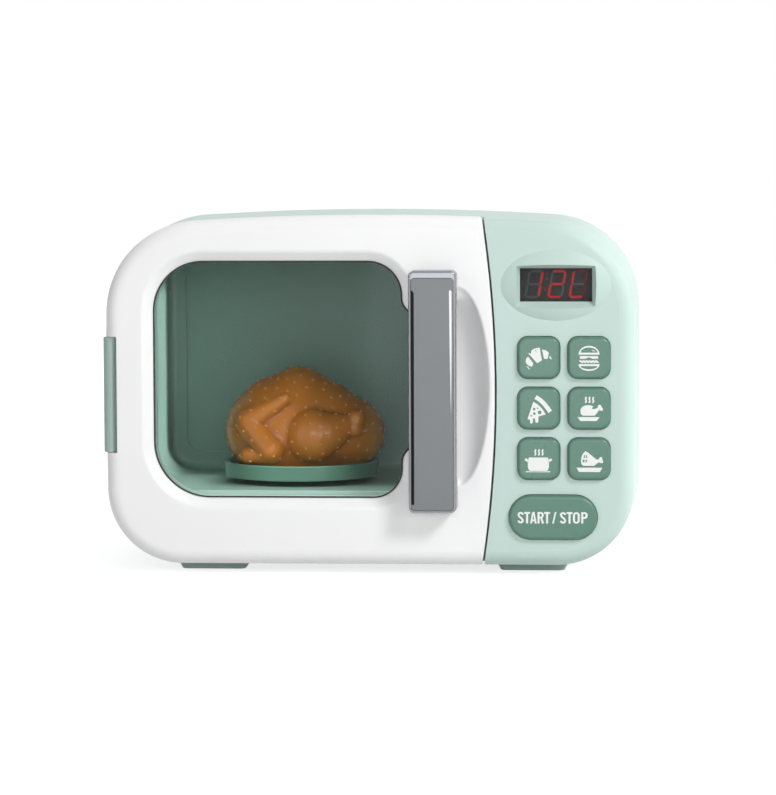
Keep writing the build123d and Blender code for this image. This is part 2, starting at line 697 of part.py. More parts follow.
def rear_casing():
    """Rear half of the casing, with the tongue, screw wells, vents, grille and battery opening."""
    shell = rear_form() - rear_form(WALL)
    tongue = casing_outline(SIDE_SWELL, TOP_SWELL, WALL - LIP_THICKNESS)
    tongue -= casing_outline(SIDE_SWELL, TOP_SWELL, WALL)
    shell += slab(tongue, PARTING_DEPTH - LIP_HEIGHT, PARTING_DEPTH)

    trimmed = rear_form(WALL / 2)
    for x, z in SCREW_POSTS:
        shell += slab(post_outline(x, z, POST_RADIUS), PARTING_DEPTH, CASING_DEPTH) & trimmed
    for x, z in SCREW_POSTS:
        floor = PARTING_DEPTH + POST_FLOOR
        shell -= rod(x, z, SCREW_WELL, floor, CASING_DEPTH + CUT)
        shell -= rod(x, z, SCREW_RADIUS + SEAT_GAP, PARTING_DEPTH - CUT, floor + CUT)

    back = CASING_DEPTH - WALL
    for row in range(VENT_COUNT):
        z = VENT_Z + (row - (VENT_COUNT - 1) / 2) * VENT_PITCH
        slot = Pos(VENT_X, z) * SlotOverall(VENT_LENGTH, VENT_WIDTH)
        shell -= slab(slot, back - CUT, CASING_DEPTH + CUT)
    for x, z in grille_places():
        shell -= rod(x, z, GRILLE_HOLE, back - CUT, CASING_DEPTH + CUT)
    ring = Circle(SPEAKER_RADIUS + SEAT_GAP + SPEAKER_RING) - Circle(SPEAKER_RADIUS + SEAT_GAP)
    shell += slab(Pos(SPEAKER_X, SPEAKER_Z) * ring, back - SPEAKER_RIM, back + SEAT_GAP)

    shell -= slab(battery_opening(), back - CUT, CASING_DEPTH + CUT)
    for x, z in tray_screw_places():
        shell += rod(x, z, BOARD_BOSS, back - TRAY_BOSS, back + SEAT_GAP)
        shell -= rod(x, z, SMALL_SCREW, back - TRAY_BOSS, back - SEAT_GAP)
    slot_length = SWITCH_KNOB + SWITCH_TRAVEL + 2 * LOOSE_GAP
    slot = RectangleRounded(slot_length, SWITCH_SLOT, SWITCH_SLOT_CORNER)
    shell -= slab(Pos(SWITCH_X, SWITCH_Z) * slot, back - CUT, CASING_DEPTH + CUT)
    for x, z in switch_screw_places():
        shell += rod(x, z, SWITCH_BOSS, back - SWITCH_BODY_DEPTH, back + SEAT_GAP)
        shell -= rod(x, z, SMALL_SCREW, back - SWITCH_BODY_DEPTH, back - SEAT_GAP)
    for x, y in foot_places():
        if y > PARTING_DEPTH:
            shell -= upright(x, y, FOOT_SPIGOT + SEAT_GAP, -CUT, WALL + CUT)
    return shell


def grille_places():
    """Speaker holes: one in the middle and rings around it, six more holes in each ring."""
    places = [(SPEAKER_X, SPEAKER_Z)]
    for ring in range(1, GRILLE_RINGS + 1):
        for step in range(6 * ring):
            angle = 2 * pi * step / (6 * ring)
            reach = ring * GRILLE_PITCH
            places.append((SPEAKER_X + reach * cos(angle), SPEAKER_Z + reach * sin(angle)))
    return places


def feet():
    """Four moulded feet, narrower at the floor, with a spigot up into the casing's underside."""
    pieces = []
    for x, y in foot_places():
        top = Plane.XY * Pos(x, y) * RectangleRounded(FOOT_LENGTH, FOOT_DEPTH, FOOT_CORNER)
        low_length, low_depth = FOOT_LENGTH - 2 * FOOT_TAPER, FOOT_DEPTH - FOOT_TAPER
        low = Plane.XY.offset(-FOOT_HEIGHT) * Pos(x, y)
        low = low * RectangleRounded(low_length, low_depth, FOOT_LOW_CORNER)
        pad = loft([top, low], ruled=True)
        pad = fillet(pad.faces().sort_by(Axis.Z)[0].edges(), FOOT_EDGE)
        pieces.append(pad + upright(x, y, FOOT_SPIGOT, -CUT, WALL))
    return Part() + pieces


def casing_screws():
    """Four long screws that draw the rear casing onto the front one."""
    seat, radius = PARTING_DEPTH + POST_FLOOR, SCREW_RADIUS - SCREW_THREAD_GAP
    size = (radius, SCREW_LENGTH, SCREW_HEAD_RADIUS, SCREW_HEAD_HEIGHT)
    return Part() + [screw_forward(x, z, seat, *size) for x, z in SCREW_POSTS]


# ---------------------------------------------------------------- cavity

def cavity_liner():
    """Green oven cavity: a rounded box open at the front, with a recessed panel in its back."""
    outer = slab(cavity_outline(CAVITY_WALL), CAVITY_FRONT, CAVITY_BACK + CAVITY_WALL)
    inner = slab(cavity_outline(), CAVITY_FRONT, CAVITY_BACK)
    inner = fillet(inner.faces().sort_by(Axis.Y)[-1].edges(), CAVITY_BACK_EDGE)
    panel = rounded(
        CAVITY_LEFT + PANEL_MARGIN,
        CAVITY_RIGHT - PANEL_MARGIN,
        CAVITY_FLOOR + PANEL_MARGIN,
        CAVITY_TOP - PANEL_MARGIN,
        PANEL_CORNER,
    )
    outer += slab(offset(panel, PANEL_BACKING), CAVITY_BACK, CAVITY_BACK + CAVITY_WALL + PANEL_RECESS)
    liner = outer - inner - slab(panel, CAVITY_BACK - CUT, CAVITY_BACK + PANEL_RECESS)

    ear_depth = RECESS_FLOOR + WALL + CAVITY_BOSS + SEAT_GAP
    walls = slab(cavity_outline(CAVITY_WALL / 2), ear_depth, ear_depth + EAR_THICKNESS)
    for x, z in ear_places():
        corner_x = min(max(x, CAVITY_LEFT + CAVITY_CORNER), CAVITY_RIGHT - CAVITY_CORNER)
        corner_z = min(max(z, CAVITY_FLOOR + CAVITY_CORNER), CAVITY_TOP - CAVITY_CORNER)
        inward = ((x + corner_x) / 2, (z + corner_z) / 2)
        tab = make_hull((Pos(x, z) * Circle(CAVITY_EAR) + Pos(*inward) * Circle(CAVITY_EAR)).edges())
        liner += slab(tab, ear_depth, ear_depth + EAR_THICKNESS) - walls
        liner -= rod(x, z, SMALL_SCREW + SEAT_GAP, ear_depth - CUT, ear_depth + EAR_THICKNESS + CUT)

    liner -= upright(CAVITY_MIDDLE, TURNTABLE_DEPTH, HUB_RADIUS + HUB_HOLE_GAP, 0, CAVITY_FLOOR + CUT)
    for x, y in gearbox_screw_places():
        liner += upright(x, y, GEARBOX_BOSS, GEARBOX_TOP + SEAT_GAP, CAVITY_FLOOR - CAVITY_WALL / 2)
        liner -= upright(x, y, SMALL_SCREW, GEARBOX_TOP, CAVITY_FLOOR - CAVITY_WALL)
    far = CAVITY_RIGHT + CAVITY_WALL + CUT
    return liner - across(LAMP_DEPTH, LAMP_Z, LAMP_RADIUS + SEAT_GAP, CAVITY_RIGHT - CUT, far)


def across(y, z, radius, left, right):
    """Round bar that runs from left to right."""
    return extrude(Plane.YZ.offset(left) * (Pos(y, z) * Circle(radius)), right - left)


def liner_screws():
    seat = RECESS_FLOOR + WALL + CAVITY_BOSS + SEAT_GAP + EAR_THICKNESS
    return Part() + [small_screw(x, z, seat, LINER_SCREW_LENGTH) for x, z in ear_places()]


def small_screw(x, z, seat, length):
    return screw_forward(
        x, z, seat, SMALL_SCREW - SCREW_THREAD_GAP, length, SMALL_HEAD_RADIUS, SMALL_HEAD_HEIGHT
    )


def hinge_bracket():
    """Green hinge: a round knuckle, a leaf through the recess floor and a plate behind it."""
    low = KNUCKLE_MIDDLE - KNUCKLE_LENGTH / 2
    high = KNUCKLE_MIDDLE + KNUCKLE_LENGTH / 2
    inner_floor = RECESS_FLOOR + WALL
    knuckle = upright(HINGE_X, KNUCKLE_DEPTH, KNUCKLE_RADIUS, low, high)
    leaf = rounded(HINGE_LEAF_LEFT, HINGE_LEAF_RIGHT, low, high, HINGE_CORNER)
    bracket = knuckle + slab(leaf, KNUCKLE_DEPTH, inner_floor + HINGE_PLATE)
    plate_right = HINGE_PLATE_LEFT + HINGE_PLATE_WIDTH
    plate = rounded(HINGE_PLATE_LEFT, plate_right, low, high, HINGE_PLATE_CORNER)
    bracket += slab(plate, inner_floor + SEAT_GAP, inner_floor + HINGE_PLATE)
    bracket -= upright(HINGE_X, KNUCKLE_DEPTH, PIN_RADIUS + PIN_CLEARANCE, low - CUT, high + CUT)
    for x, z in hinge_screw_places():
        bracket -= rod(x, z, HINGE_BOSS + SEAT_GAP, inner_floor, inner_floor + HINGE_PLATE + CUT)
    return bracket


def hinge_screws():
    seat = RECESS_FLOOR + WALL + HINGE_PLATE
    return Part() + [small_screw(x, z, seat, HINGE_SCREW_LENGTH) for x, z in hinge_screw_places()]


def lamp_cover():
    """Clear cap over the lamp, snapped through the cavity's right wall."""
    cap = across(LAMP_DEPTH, LAMP_Z, LAMP_RADIUS, CAVITY_RIGHT - LAMP_COVER, CAVITY_RIGHT + CAVITY_WALL)
    rounded_edge = cap.edges().sort_by(Axis.X)[0]
    cap = fillet(rounded_edge, LAMP_COVER * 0.8)
    outside = CAVITY_RIGHT + CAVITY_WALL
    return cap + across(LAMP_DEPTH, LAMP_Z, LAMP_RADIUS + LAMP_COVER, outside, outside + LAMP_COVER)


def lamp_holder():
    """Cup behind the lamp cover, with a hole in its end for the lamp."""
    near = CAVITY_RIGHT + CAVITY_WALL + LAMP_COVER
    far = near + LAMP_CUP_LENGTH
    cup = across(LAMP_DEPTH, LAMP_Z, LAMP_RADIUS + LAMP_COVER, near, far)
    cup -= across(LAMP_DEPTH, LAMP_Z, LAMP_RADIUS, near, far - LAMP_COVER)
    return cup - across(LAMP_DEPTH, LAMP_Z, LAMP_BULB + SEAT_GAP, far - LAMP_COVER - CUT, far + CUT)


def cavity_lamp():
    """Small lamp: a round-nosed bulb on a flange, with two leads."""
    end = CAVITY_RIGHT + CAVITY_WALL + LAMP_COVER + LAMP_CUP_LENGTH
    nose = end - LAMP_BULB_LENGTH
    bulb = across(LAMP_DEPTH, LAMP_Z, LAMP_BULB, nose, end)
    bulb = fillet(bulb.edges().sort_by(Axis.X)[0], LAMP_BULB * 0.8)
    back = end + LAMP_FLANGE_THICKNESS
    bulb += across(LAMP_DEPTH, LAMP_Z, LAMP_BULB + LAMP_FLANGE, end, back)
    for side in (-1, 1):
        lead = LAMP_DEPTH + side * LAMP_BULB / 2
        bulb += across(lead, LAMP_Z, LEAD_RADIUS, back, back + LEAD_LENGTH)
    return bulb


# ---------------------------------------------------------------- turntable drive

def gear(teeth, low, high):
    """Spur gear with involute flanks, one tooth pointing to the right."""
    pitch = GEAR_MODULE * teeth / 2
    base = pitch * cos(PRESSURE_ANGLE)
    tip = pitch + ADDENDUM * GEAR_MODULE
    root = pitch - DEDENDUM * GEAR_MODULE
    half_tooth = pi / (2 * teeth) - BACKLASH / (4 * pitch)
    at_pitch = tan(PRESSURE_ANGLE) - PRESSURE_ANGLE

    def half_angle(radius):
        pressure = acos(min(1.0, base / radius))
        return half_tooth + at_pitch - (tan(pressure) - pressure)

    start = max(base, root)
    radii = [start + (tip - start) * step / FLANK_STEPS for step in range(FLANK_STEPS + 1)]
    flank = [(root, half_angle(start))] if root < start else []
    flank += [(radius, half_angle(radius)) for radius in radii]
    points = []
    for tooth in range(teeth):
        middle = 2 * pi * tooth / teeth
        rising = [(radius, middle - angle) for radius, angle in flank]
        falling = [(radius, middle + angle) for radius, angle in reversed(flank)]
        points += [(radius * cos(a), radius * sin(a)) for radius, a in rising + falling]
    return column(make_face(Polyline(*points, close=True)), low, high)


def reduction_place():
    """The idler stands to the right of the turntable's axis."""
    distance = GEAR_MODULE * (OUTPUT_TEETH + PINION_TEETH) / 2
    return CAVITY_MIDDLE + distance, TURNTABLE_DEPTH


def motor_place():
    """The motor stands to the right of the idler."""
    distance = GEAR_MODULE * (WHEEL_TEETH + PINION_TEETH) / 2
    x, y = reduction_place()
    return x + distance, y


def half_pitch(teeth):
    """Turn that puts a gap instead of a tooth towards the gear at its left."""
    return 180 / teeth if teeth % 2 == 0 else 0.0


def motor_pinion():
    """Pinion on the motor's shaft."""
    x, y = motor_place()
    wheel = gear(PINION_TEETH, PINION_LOW, PINION_LOW + GEAR_FACE + GEAR_FACE_GAP)
    shaft = upright(0, 0, MOTOR_SHAFT, PINION_LOW, MOTOR_LOW + MOTOR_SHAFT_REACH)
    return Pos(x, y) * (Rot(0, 0, half_pitch(PINION_TEETH)) * wheel + shaft)


def reduction_gear():
    """Idler: a large wheel that meets the motor pinion, and a pinion that drives the output."""
    x, y = reduction_place()
    wheel = gear(WHEEL_TEETH, WHEEL_LOW, WHEEL_LOW + GEAR_FACE)
    pinion = Rot(0, 0, half_pitch(PINION_TEETH)) * gear(PINION_TEETH, WHEEL_LOW + GEAR_FACE, IDLER_TOP)
    bore = upright(0, 0, GEAR_PIN_RADIUS + RUNNING_CLEARANCE, 0, IDLER_TOP + CUT)
    return Pos(x, y) * (wheel + pinion - bore)


def output_gear():
    """Output gear with the hub that rises through the cavity floor and ends in a six-sided key."""
    wheel = gear(OUTPUT_TEETH, OUTPUT_LOW, OUTPUT_LOW + GEAR_FACE)
    hub = upright(0, 0, HUB_RADIUS, OUTPUT_LOW + GEAR_FACE, PLATE_BOTTOM)
    key = column(RegularPolygon(KEY_RADIUS, KEY_SIDES), PLATE_BOTTOM, PLATE_BOTTOM + KEY_HEIGHT)
    bore = upright(0, 0, GEAR_PIN_RADIUS + RUNNING_CLEARANCE, 0, OUTPUT_PIN_TOP + LOOSE_GAP)
    return Pos(CAVITY_MIDDLE, TURNTABLE_DEPTH) * (wheel + hub + key - bore)


def gear_pins():
    """Two fixed steel pins that the idler and the output gear turn on."""
    idler = upright(*reduction_place(), GEAR_PIN_RADIUS, GEARBOX_LOW + PIN_FLOOR, GEARBOX_TOP - PIN_FLOOR)
    output = upright(
        CAVITY_MIDDLE, TURNTABLE_DEPTH, GEAR_PIN_RADIUS, GEARBOX_LOW + PIN_FLOOR, OUTPUT_PIN_TOP
    )
    return Part() + [idler, output]


def gearbox_outline(grow=0.0):
    size = GEARBOX_RIGHT - GEARBOX_LEFT + 2 * grow, GEARBOX_DEPTH + 2 * grow
    middle = (GEARBOX_LEFT + GEARBOX_RIGHT) / 2
    return Pos(middle, TURNTABLE_DEPTH) * RectangleRounded(*size, GEARBOX_CORNER + grow)


def gearbox_screw_places():
    deep = GEARBOX_DEPTH / 2 - GEARBOX_SCREW_INSET
    sides = (GEARBOX_LEFT + GEARBOX_SCREW_INSET, GEARBOX_RIGHT - GEARBOX_SCREW_INSET)
    return [(x, TURNTABLE_DEPTH + side * deep) for x in sides for side in (-1, 1)]


def gearbox_base():
    """Tray under the gears, with a boss for each pin and a post at each corner."""
    box = column(gearbox_outline(), GEARBOX_LOW, GEARBOX_LID)
    hollow = column(gearbox_outline(-GEARBOX_WALL), GEARBOX_LOW + GEARBOX_WALL, GEARBOX_LID + CUT)
    for x, y in gearbox_screw_places():
        hollow -= upright(x, y, GEARBOX_BOSS, 0, GEARBOX_TOP)
    base = box - hollow
    pin = GEAR_PIN_RADIUS + SEAT_GAP / 4
    pin_tops = ((reduction_place(), WHEEL_LOW), ((CAVITY_MIDDLE, TURNTABLE_DEPTH), OUTPUT_LOW))
    for (x, y), top in pin_tops:
        base += upright(x, y, PIN_BOSS, GEARBOX_LOW, top - LOOSE_GAP)
        base -= upright(x, y, pin, GEARBOX_LOW + PIN_FLOOR, top)
    for x, y in gearbox_screw_places():
        base -= upright(x, y, SMALL_SCREW + SEAT_GAP, 0, GEARBOX_TOP)
        head_top = GEARBOX_LOW + SMALL_HEAD_HEIGHT + SEAT_GAP
        base -= upright(x, y, SMALL_HEAD_RADIUS + SEAT_GAP, 0, head_top)
    return base


def gearbox_cover():
    """Lid of the gearbox, with bearings for the gears and a cup that holds the motor."""
    lid = column(gearbox_outline(), GEARBOX_LID + SEAT_GAP, GEARBOX_TOP)
    x, y = motor_place()
    cup_radius = MOTOR_RADIUS + SEAT_GAP
    lid += upright(x, y, cup_radius + GEARBOX_WALL, MOTOR_LOW - GEARBOX_WALL - SEAT_GAP, GEARBOX_TOP)
    lid -= upright(x, y, cup_radius, MOTOR_LOW - SEAT_GAP, GEARBOX_TOP + CUT)
    lid -= upright(x, y, MOTOR_SHAFT * 2, 0, GEARBOX_TOP)
    hub_hole = HUB_RADIUS + RUNNING_CLEARANCE
    lid -= upright(CAVITY_MIDDLE, TURNTABLE_DEPTH, hub_hole, 0, GEARBOX_TOP + CUT)
    lid -= upright(*reduction_place(), GEAR_PIN_RADIUS + SEAT_GAP / 4, 0, GEARBOX_TOP - PIN_FLOOR)
    for x, y in gearbox_screw_places():
        lid -= upright(x, y, SMALL_SCREW + SEAT_GAP, 0, GEARBOX_TOP + CUT)
    return lid


def gearbox_screws():
    """Four screws from below, through tray and lid into the bosses under the cavity."""
    radius = SMALL_SCREW - SCREW_THREAD_GAP
    body = screw(radius, GEARBOX_SCREW_LENGTH, SMALL_HEAD_RADIUS, SMALL_HEAD_HEIGHT)
    return Part() + [Pos(x, y, GEARBOX_LOW) * body for x, y in gearbox_screw_places()]


def drive_motor():
    """Small motor can with two flats, a rear bush and two terminals."""
    x, y = motor_place()
    profile = Circle(MOTOR_RADIUS) & Rectangle(2 * MOTOR_FLAT, 2 * MOTOR_RADIUS)
    can = column(profile, MOTOR_LOW, MOTOR_LOW + MOTOR_LENGTH)
    rims = [e for e in can.edges() if e.geom_type == GeomType.CIRCLE]
    can = fillet(rims, MOTOR_EDGE)
    top = MOTOR_LOW + MOTOR_LENGTH
    can += upright(0, 0, MOTOR_BUSH_RADIUS, top, top + MOTOR_BUSH)
    for side in (-1, 1):
        blade = Rectangle(TERMINAL_THICKNESS, TERMINAL_WIDTH)
        can += column(Pos(side * MOTOR_FLAT / 2, MOTOR_RADIUS / 3) * blade, top - CUT, top + MOTOR_BUSH)
    can -= upright(0, 0, MOTOR_SHAFT + RUNNING_CLEARANCE, 0, MOTOR_LOW + MOTOR_SHAFT_REACH + LOOSE_GAP)
    return Pos(x, y) * can


# ---------------------------------------------------------------- turntable and chicken

def turntable_plate():
    """Round plate with a raised rim, a hollow underside and a six-sided socket for the hub's key."""
    web_low = PLATE_FLOOR - PLATE_WEB - PLATE_BOTTOM
    floor, top = PLATE_FLOOR - PLATE_BOTTOM, PLATE_RIM_HEIGHT
    inner = PLATE_RADIUS - PLATE_RIM
    socket = KEY_RADIUS + SOCKET_WALL + SEAT_GAP
    profile = Polyline(
        (0, floor),
        (inner - PLATE_WELL, floor),
        (inner, top),
        (PLATE_RADIUS, top),
        (PLATE_RADIUS - PLATE_DRAFT, 0),
        (inner - PLATE_DRAFT, 0),
        (inner - PLATE_DRAFT, web_low),
        (socket, web_low),
        (socket, SEAT_GAP),
        (0, SEAT_GAP),
        close=True,
    )
    plate = revolve(Plane.XZ * make_face(profile), Axis.Z)
    plate -= column(RegularPolygon(KEY_RADIUS + SEAT_GAP, KEY_SIDES), 0, KEY_HEIGHT + SEAT_GAP)
    rims = [e for e in plate.edges() if e.geom_type == GeomType.CIRCLE and e.length > 6 * inner]
    top_rims = [e for e in rims if abs(e.center().Z - top) < 0.01]
    plate = fillet(top_rims, PLATE_EDGE)
    return Pos(CAVITY_MIDDLE, TURNTABLE_DEPTH, PLATE_BOTTOM) * plate


def limb(start, end, start_radius, end_radius):
    """Tapered limb with round ends between two points."""
    start, end = Vector(*start), Vector(*end)
    along = end - start
    slope = (start_radius - end_radius) / along.length
    side = sqrt(1 - slope**2)
    wide = (start_radius * side, start_radius * slope)
    narrow = (end_radius * side, along.length + end_radius * slope)
    bottom, top = (0, -start_radius), (0, along.length + end_radius)
    profile = TangentArc(bottom, wide, tangent=(1, 0)) + Line(wide, narrow)
    profile += TangentArc(top, narrow, tangent=(1, 0)) + Line(top, bottom)
    return Plane(origin=start, z_dir=along) * revolve(Plane.XZ * make_face(profile), Axis.Z)


def roast_chicken():
    """Trussed roast chicken lying on its back: plump body, drumsticks, folded wings, flat base."""
    half_length, half_width = CHICKEN_LENGTH / 2, CHICKEN_WIDTH / 2
    body_sections = []
    for along, height, width, rise in CHICKEN_SECTIONS:
        section = Ellipse(width * half_width, height * CHICKEN_HEIGHT / 2)
        middle = Pos(0, rise * CHICKEN_HEIGHT)
        body_sections.append(Plane.YZ.offset(along * half_length) * middle * section)
    bird = loft(body_sections)
    for side in (-1, 1):
        for start, end, start_radius, end_radius in CHICKEN_LIMBS:
            ends = [
                (p[0] * half_length, side * p[1] * half_width, p[2] * CHICKEN_HEIGHT)
                for p in (start, end)
            ]
            bird += limb(*ends, start_radius * CHICKEN_HEIGHT, end_radius * CHICKEN_HEIGHT)
    above_plate = column(Rectangle(2 * CHICKEN_LENGTH, 2 * CHICKEN_LENGTH), 0, 2 * CHICKEN_HEIGHT)
    return Pos(CHICKEN_X, TURNTABLE_DEPTH, PLATE_FLOOR + SEAT_GAP) * (bird & above_plate)


# ---------------------------------------------------------------- door

def hinge_notch(grow=0.0):
    """Space in the door's left edge for the hinge knuckle and its leaf."""
    half = KNUCKLE_LENGTH / 2 + LOOSE_GAP + grow
    right = HINGE_X + KNUCKLE_RADIUS + LOOSE_GAP + grow
    low, high = KNUCKLE_MIDDLE - half, KNUCKLE_MIDDLE + half
    notch = rounded(-SIDE_X - 4 * WALL, right, low, high, HINGE_CORNER + SEAT_GAP)
    return slab(notch, -WALL, DOOR_THICKNESS + WALL)


def pin_lugs():
    """Solid blocks above and below the notch that hold the ends of the hinge pin."""
    half = KNUCKLE_LENGTH / 2
    reach = PIN_ENGAGEMENT + WALL
    left, right = -SIDE_X - WALL, HINGE_X + 2 * KNUCKLE_RADIUS
    lugs = [
        rounded(left, right, KNUCKLE_MIDDLE + low, KNUCKLE_MIDDLE + high, LUG_CORNER)
        for low, high in ((half, half + reach), (-half - reach, -half))
    ]
    return Part() + [slab(lug, 0, KNUCKLE_DEPTH + KNUCKLE_RADIUS + WALL) for lug in lugs]


def handle_screw_places():
    low = HANDLE_LOW + HANDLE_FOOT / 2
    high = HANDLE_LOW + HANDLE_LENGTH - HANDLE_FOOT / 2
    return [(HANDLE_MIDDLE, low), (HANDLE_MIDDLE, high)]


def handle_pads():
    """Solid seats in the door's face under the two feet of the handle."""
    return Part() + [
        slab(Pos(x, z) * Rectangle(HANDLE_WIDTH, HANDLE_FOOT), -WALL, HANDLE_SEAT)
        for x, z in handle_screw_places()
    ]


def door_frame():
    """White door moulding: rounded edge, bevelled window, finger scoop and hinge notch."""
    window = window_outline()
    door = door_half()
    front_edges = door.faces().sort_by(Axis.Y)[0].edges()
    seam_edges = [e for e in front_edges if e.center().X > HANDLE_MIDDLE + HANDLE_WIDTH]
    door = fillet(seam_edges, DOOR_EDGE)
    hollow = door_half(WALL)
    hollow -= slab(offset(window, BEVEL_BACKING), 0, BEVEL_DEPTH)
    hollow -= scoop_bowl(WALL) + handle_pads()
    hollow -= pin_lugs()
    hollow -= hinge_notch(WALL)
    for x, z in DOOR_SCREWS:
        hollow -= rod(x, z, DOOR_BOSS, 0, DOOR_THICKNESS - DOOR_BACK_THICKNESS - SEAT_GAP)
    door -= hollow
    door -= hinge_notch()
    door -= scoop_bowl() - handle_pads()
    rim = face_edges(door, SCOOP_X, SCOOP_X + SCOOP_REACH + CUT)
    door = fillet([e for e in rim if e.geom_type != GeomType.LINE], SCOOP_ROUND)

    outer = offset(window, BEVEL_WIDTH)
    bevel = loft([at_depth(outer, 0), at_depth(window, BEVEL_DEPTH)], ruled=True)
    door -= bevel + slab(window, BEVEL_DEPTH - CUT, BEVEL_DEPTH + CUT)
    door = fillet(face_edges(door, WINDOW_LEFT - 2 * BEVEL_WIDTH, SCOOP_LEFT), BEVEL_ROUND)

    half = KNUCKLE_LENGTH / 2 + PIN_ENGAGEMENT
    low, high = KNUCKLE_MIDDLE - half, KNUCKLE_MIDDLE + half
    door -= upright(HINGE_X, KNUCKLE_DEPTH, PIN_RADIUS + PIN_GRIP_GAP, low, high)
    for x, z in DOOR_SCREWS:
        door -= rod(x, z, SMALL_SCREW, WALL, DOOR_THICKNESS)
    for x, z in handle_screw_places():
        door -= rod(x, z, HANDLE_SCREW_RADIUS + SEAT_GAP, -CUT, DOOR_THICKNESS)
        door -= rod(x, z, SMALL_HEAD_RADIUS + LOOSE_GAP, HANDLE_SEAT, DOOR_THICKNESS)
    return door


def face_edges(door, left, right):
    """Edges of the openings in the door's flat face that lie between two places across it."""
    low, high = WINDOW_BOTTOM - 2 * BEVEL_WIDTH, WINDOW_TOP + 2 * BEVEL_WIDTH
    edges = [e for e in door.edges() if abs(e.bounding_box().min.Y) < SEAT_GAP / 2]
    edges = [e for e in edges if abs(e.bounding_box().max.Y) < SEAT_GAP / 2]
    edges = [e for e in edges if left < e.bounding_box().min.X and e.bounding_box().max.X < right]
    return [e for e in edges if low < e.bounding_box().min.Z and e.bounding_box().max.Z < high]


def door_back():
    """Inner frame that closes the back of the door: plate, collar that clamps the pane, catch."""
    window = window_outline()
    near = DOOR_THICKNESS - DOOR_BACK_THICKNESS
    inset = WALL + SEAT_GAP
    fit = seam_disc(-SEAM_GAP - SEAM_DRAFT - inset, 0, DOOR_THICKNESS)
    plate = slab(casing_outline(inset=inset), near, DOOR_THICKNESS) & fit
    plate -= hinge_notch(WALL + SEAT_GAP)
    collar_start = BEVEL_DEPTH + SEAT_GAP + PANE_THICKNESS + SEAT_GAP
    plate += slab(offset(window, SEAL_LIP + COLLAR_WALL), collar_start, DOOR_THICKNESS)
    far = DOOR_THICKNESS + CUT
    plate -= slab(offset(window, SEAL_LIP), collar_start - CUT, far)
    for x, z in DOOR_SCREWS:
        plate -= rod(x, z, SMALL_SCREW + SEAT_GAP, near - CUT, far)
        plate -= rod(x, z, SMALL_HEAD_RADIUS + SEAT_GAP, DOOR_THICKNESS - SMALL_HEAD_HEIGHT, far)
    catch = slab(catch_face(), near, DOOR_THICKNESS + CATCH_LENGTH)
    tip_edges = catch.faces().sort_by(Axis.Y)[-1].edges().filter_by(Axis.Z)
    return plate + fillet(tip_edges, CATCH_NOSE)


def window_pane():
    """Tinted clear pane behind the window opening."""
    near = BEVEL_DEPTH + SEAT_GAP
    return slab(offset(window_outline(), PANE_LAP), near, near + PANE_THICKNESS)


def window_seal():
    """Thin dark gasket seated round the edge of the opening, in front of the pane."""
    outline = window_outline()
    ring = offset(outline, -SEAT_GAP / 4) - offset(outline, -SEAL_WIDTH)
    return slab(ring, BEVEL_DEPTH - SEAL_LIP, BEVEL_DEPTH + SEAT_GAP)


def hinge_pin():
    half = KNUCKLE_LENGTH / 2 + PIN_ENGAGEMENT - SEAT_GAP
    return upright(HINGE_X, KNUCKLE_DEPTH, PIN_RADIUS, KNUCKLE_MIDDLE - half, KNUCKLE_MIDDLE + half)


def door_handle():
    """Silver bar handle: rounded bar on two feet, arched behind for fingers, recessed in front."""
    middle = HANDLE_LOW + HANDLE_LENGTH / 2
    bar = Pos(HANDLE_MIDDLE, middle) * RectangleRounded(HANDLE_WIDTH, HANDLE_LENGTH, HANDLE_CORNER)
    handle = slab(bar, -HANDLE_PROUD, 0)
    handle = fillet(handle.faces().sort_by(Axis.Y)[0].edges(), HANDLE_EDGE)
    arch_length = HANDLE_LENGTH - 2 * HANDLE_FOOT
    arch = Pos(HANDLE_ARCH / 2 - HANDLE_PROUD / 2 + HANDLE_BAR / 2, middle)
    arch *= RectangleRounded(HANDLE_PROUD - HANDLE_BAR + HANDLE_ARCH, arch_length, HANDLE_ARCH)
    cut = extrude(Plane.YZ.offset(HANDLE_MIDDLE - HANDLE_WIDTH) * arch, 2 * HANDLE_WIDTH)
    handle -= cut
    handle -= slab(facing_outline(SEAT_GAP), -HANDLE_PROUD, FACING_THICKNESS - HANDLE_PROUD - FACING_PROUD)
    for x, z in handle_screw_places():
        handle -= rod(x, z, HANDLE_SCREW_RADIUS, -HANDLE_SCREW_LENGTH, CUT)
    return handle


def facing_outline(grow=0.0):
    left = HANDLE_MIDDLE - HANDLE_WIDTH / 2 + FACING_MARGIN - grow
    right = HANDLE_MIDDLE + HANDLE_WIDTH / 2 - FACING_MARGIN + grow
    low = HANDLE_LOW + FACING_MARGIN - grow
    high = HANDLE_LOW + HANDLE_LENGTH - FACING_TOP_MARGIN + grow
    return rounded(left, right, low, high, FACING_CORNER + grow)


def handle_facing():
    """Grey strip let into the front of the handle."""
    strip = slab(facing_outline(), -HANDLE_PROUD, FACING_THICKNESS - HANDLE_PROUD - FACING_PROUD)
    return fillet(strip.faces().sort_by(Axis.Y)[0].edges(), FACING_EDGE)


def handle_screws():
    """Two screws from inside the door into the handle's feet."""
    radius = HANDLE_SCREW_RADIUS - SCREW_THREAD_GAP
    length = HANDLE_SEAT + HANDLE_SCREW_LENGTH - CUT
    size = (radius, length, SMALL_HEAD_RADIUS, SMALL_HEAD_HEIGHT)
    return Part() + [screw_forward(x, z, HANDLE_SEAT, *size) for x, z in handle_screw_places()]


def door_screws():
    """Four screws that hold the inner frame to the door moulding."""
    seat = DOOR_THICKNESS - SMALL_HEAD_HEIGHT
    return Part() + [small_screw(x, z, seat, DOOR_SCREW_LENGTH) for x, z in DOOR_SCREWS]


# ---------------------------------------------------------------- controls

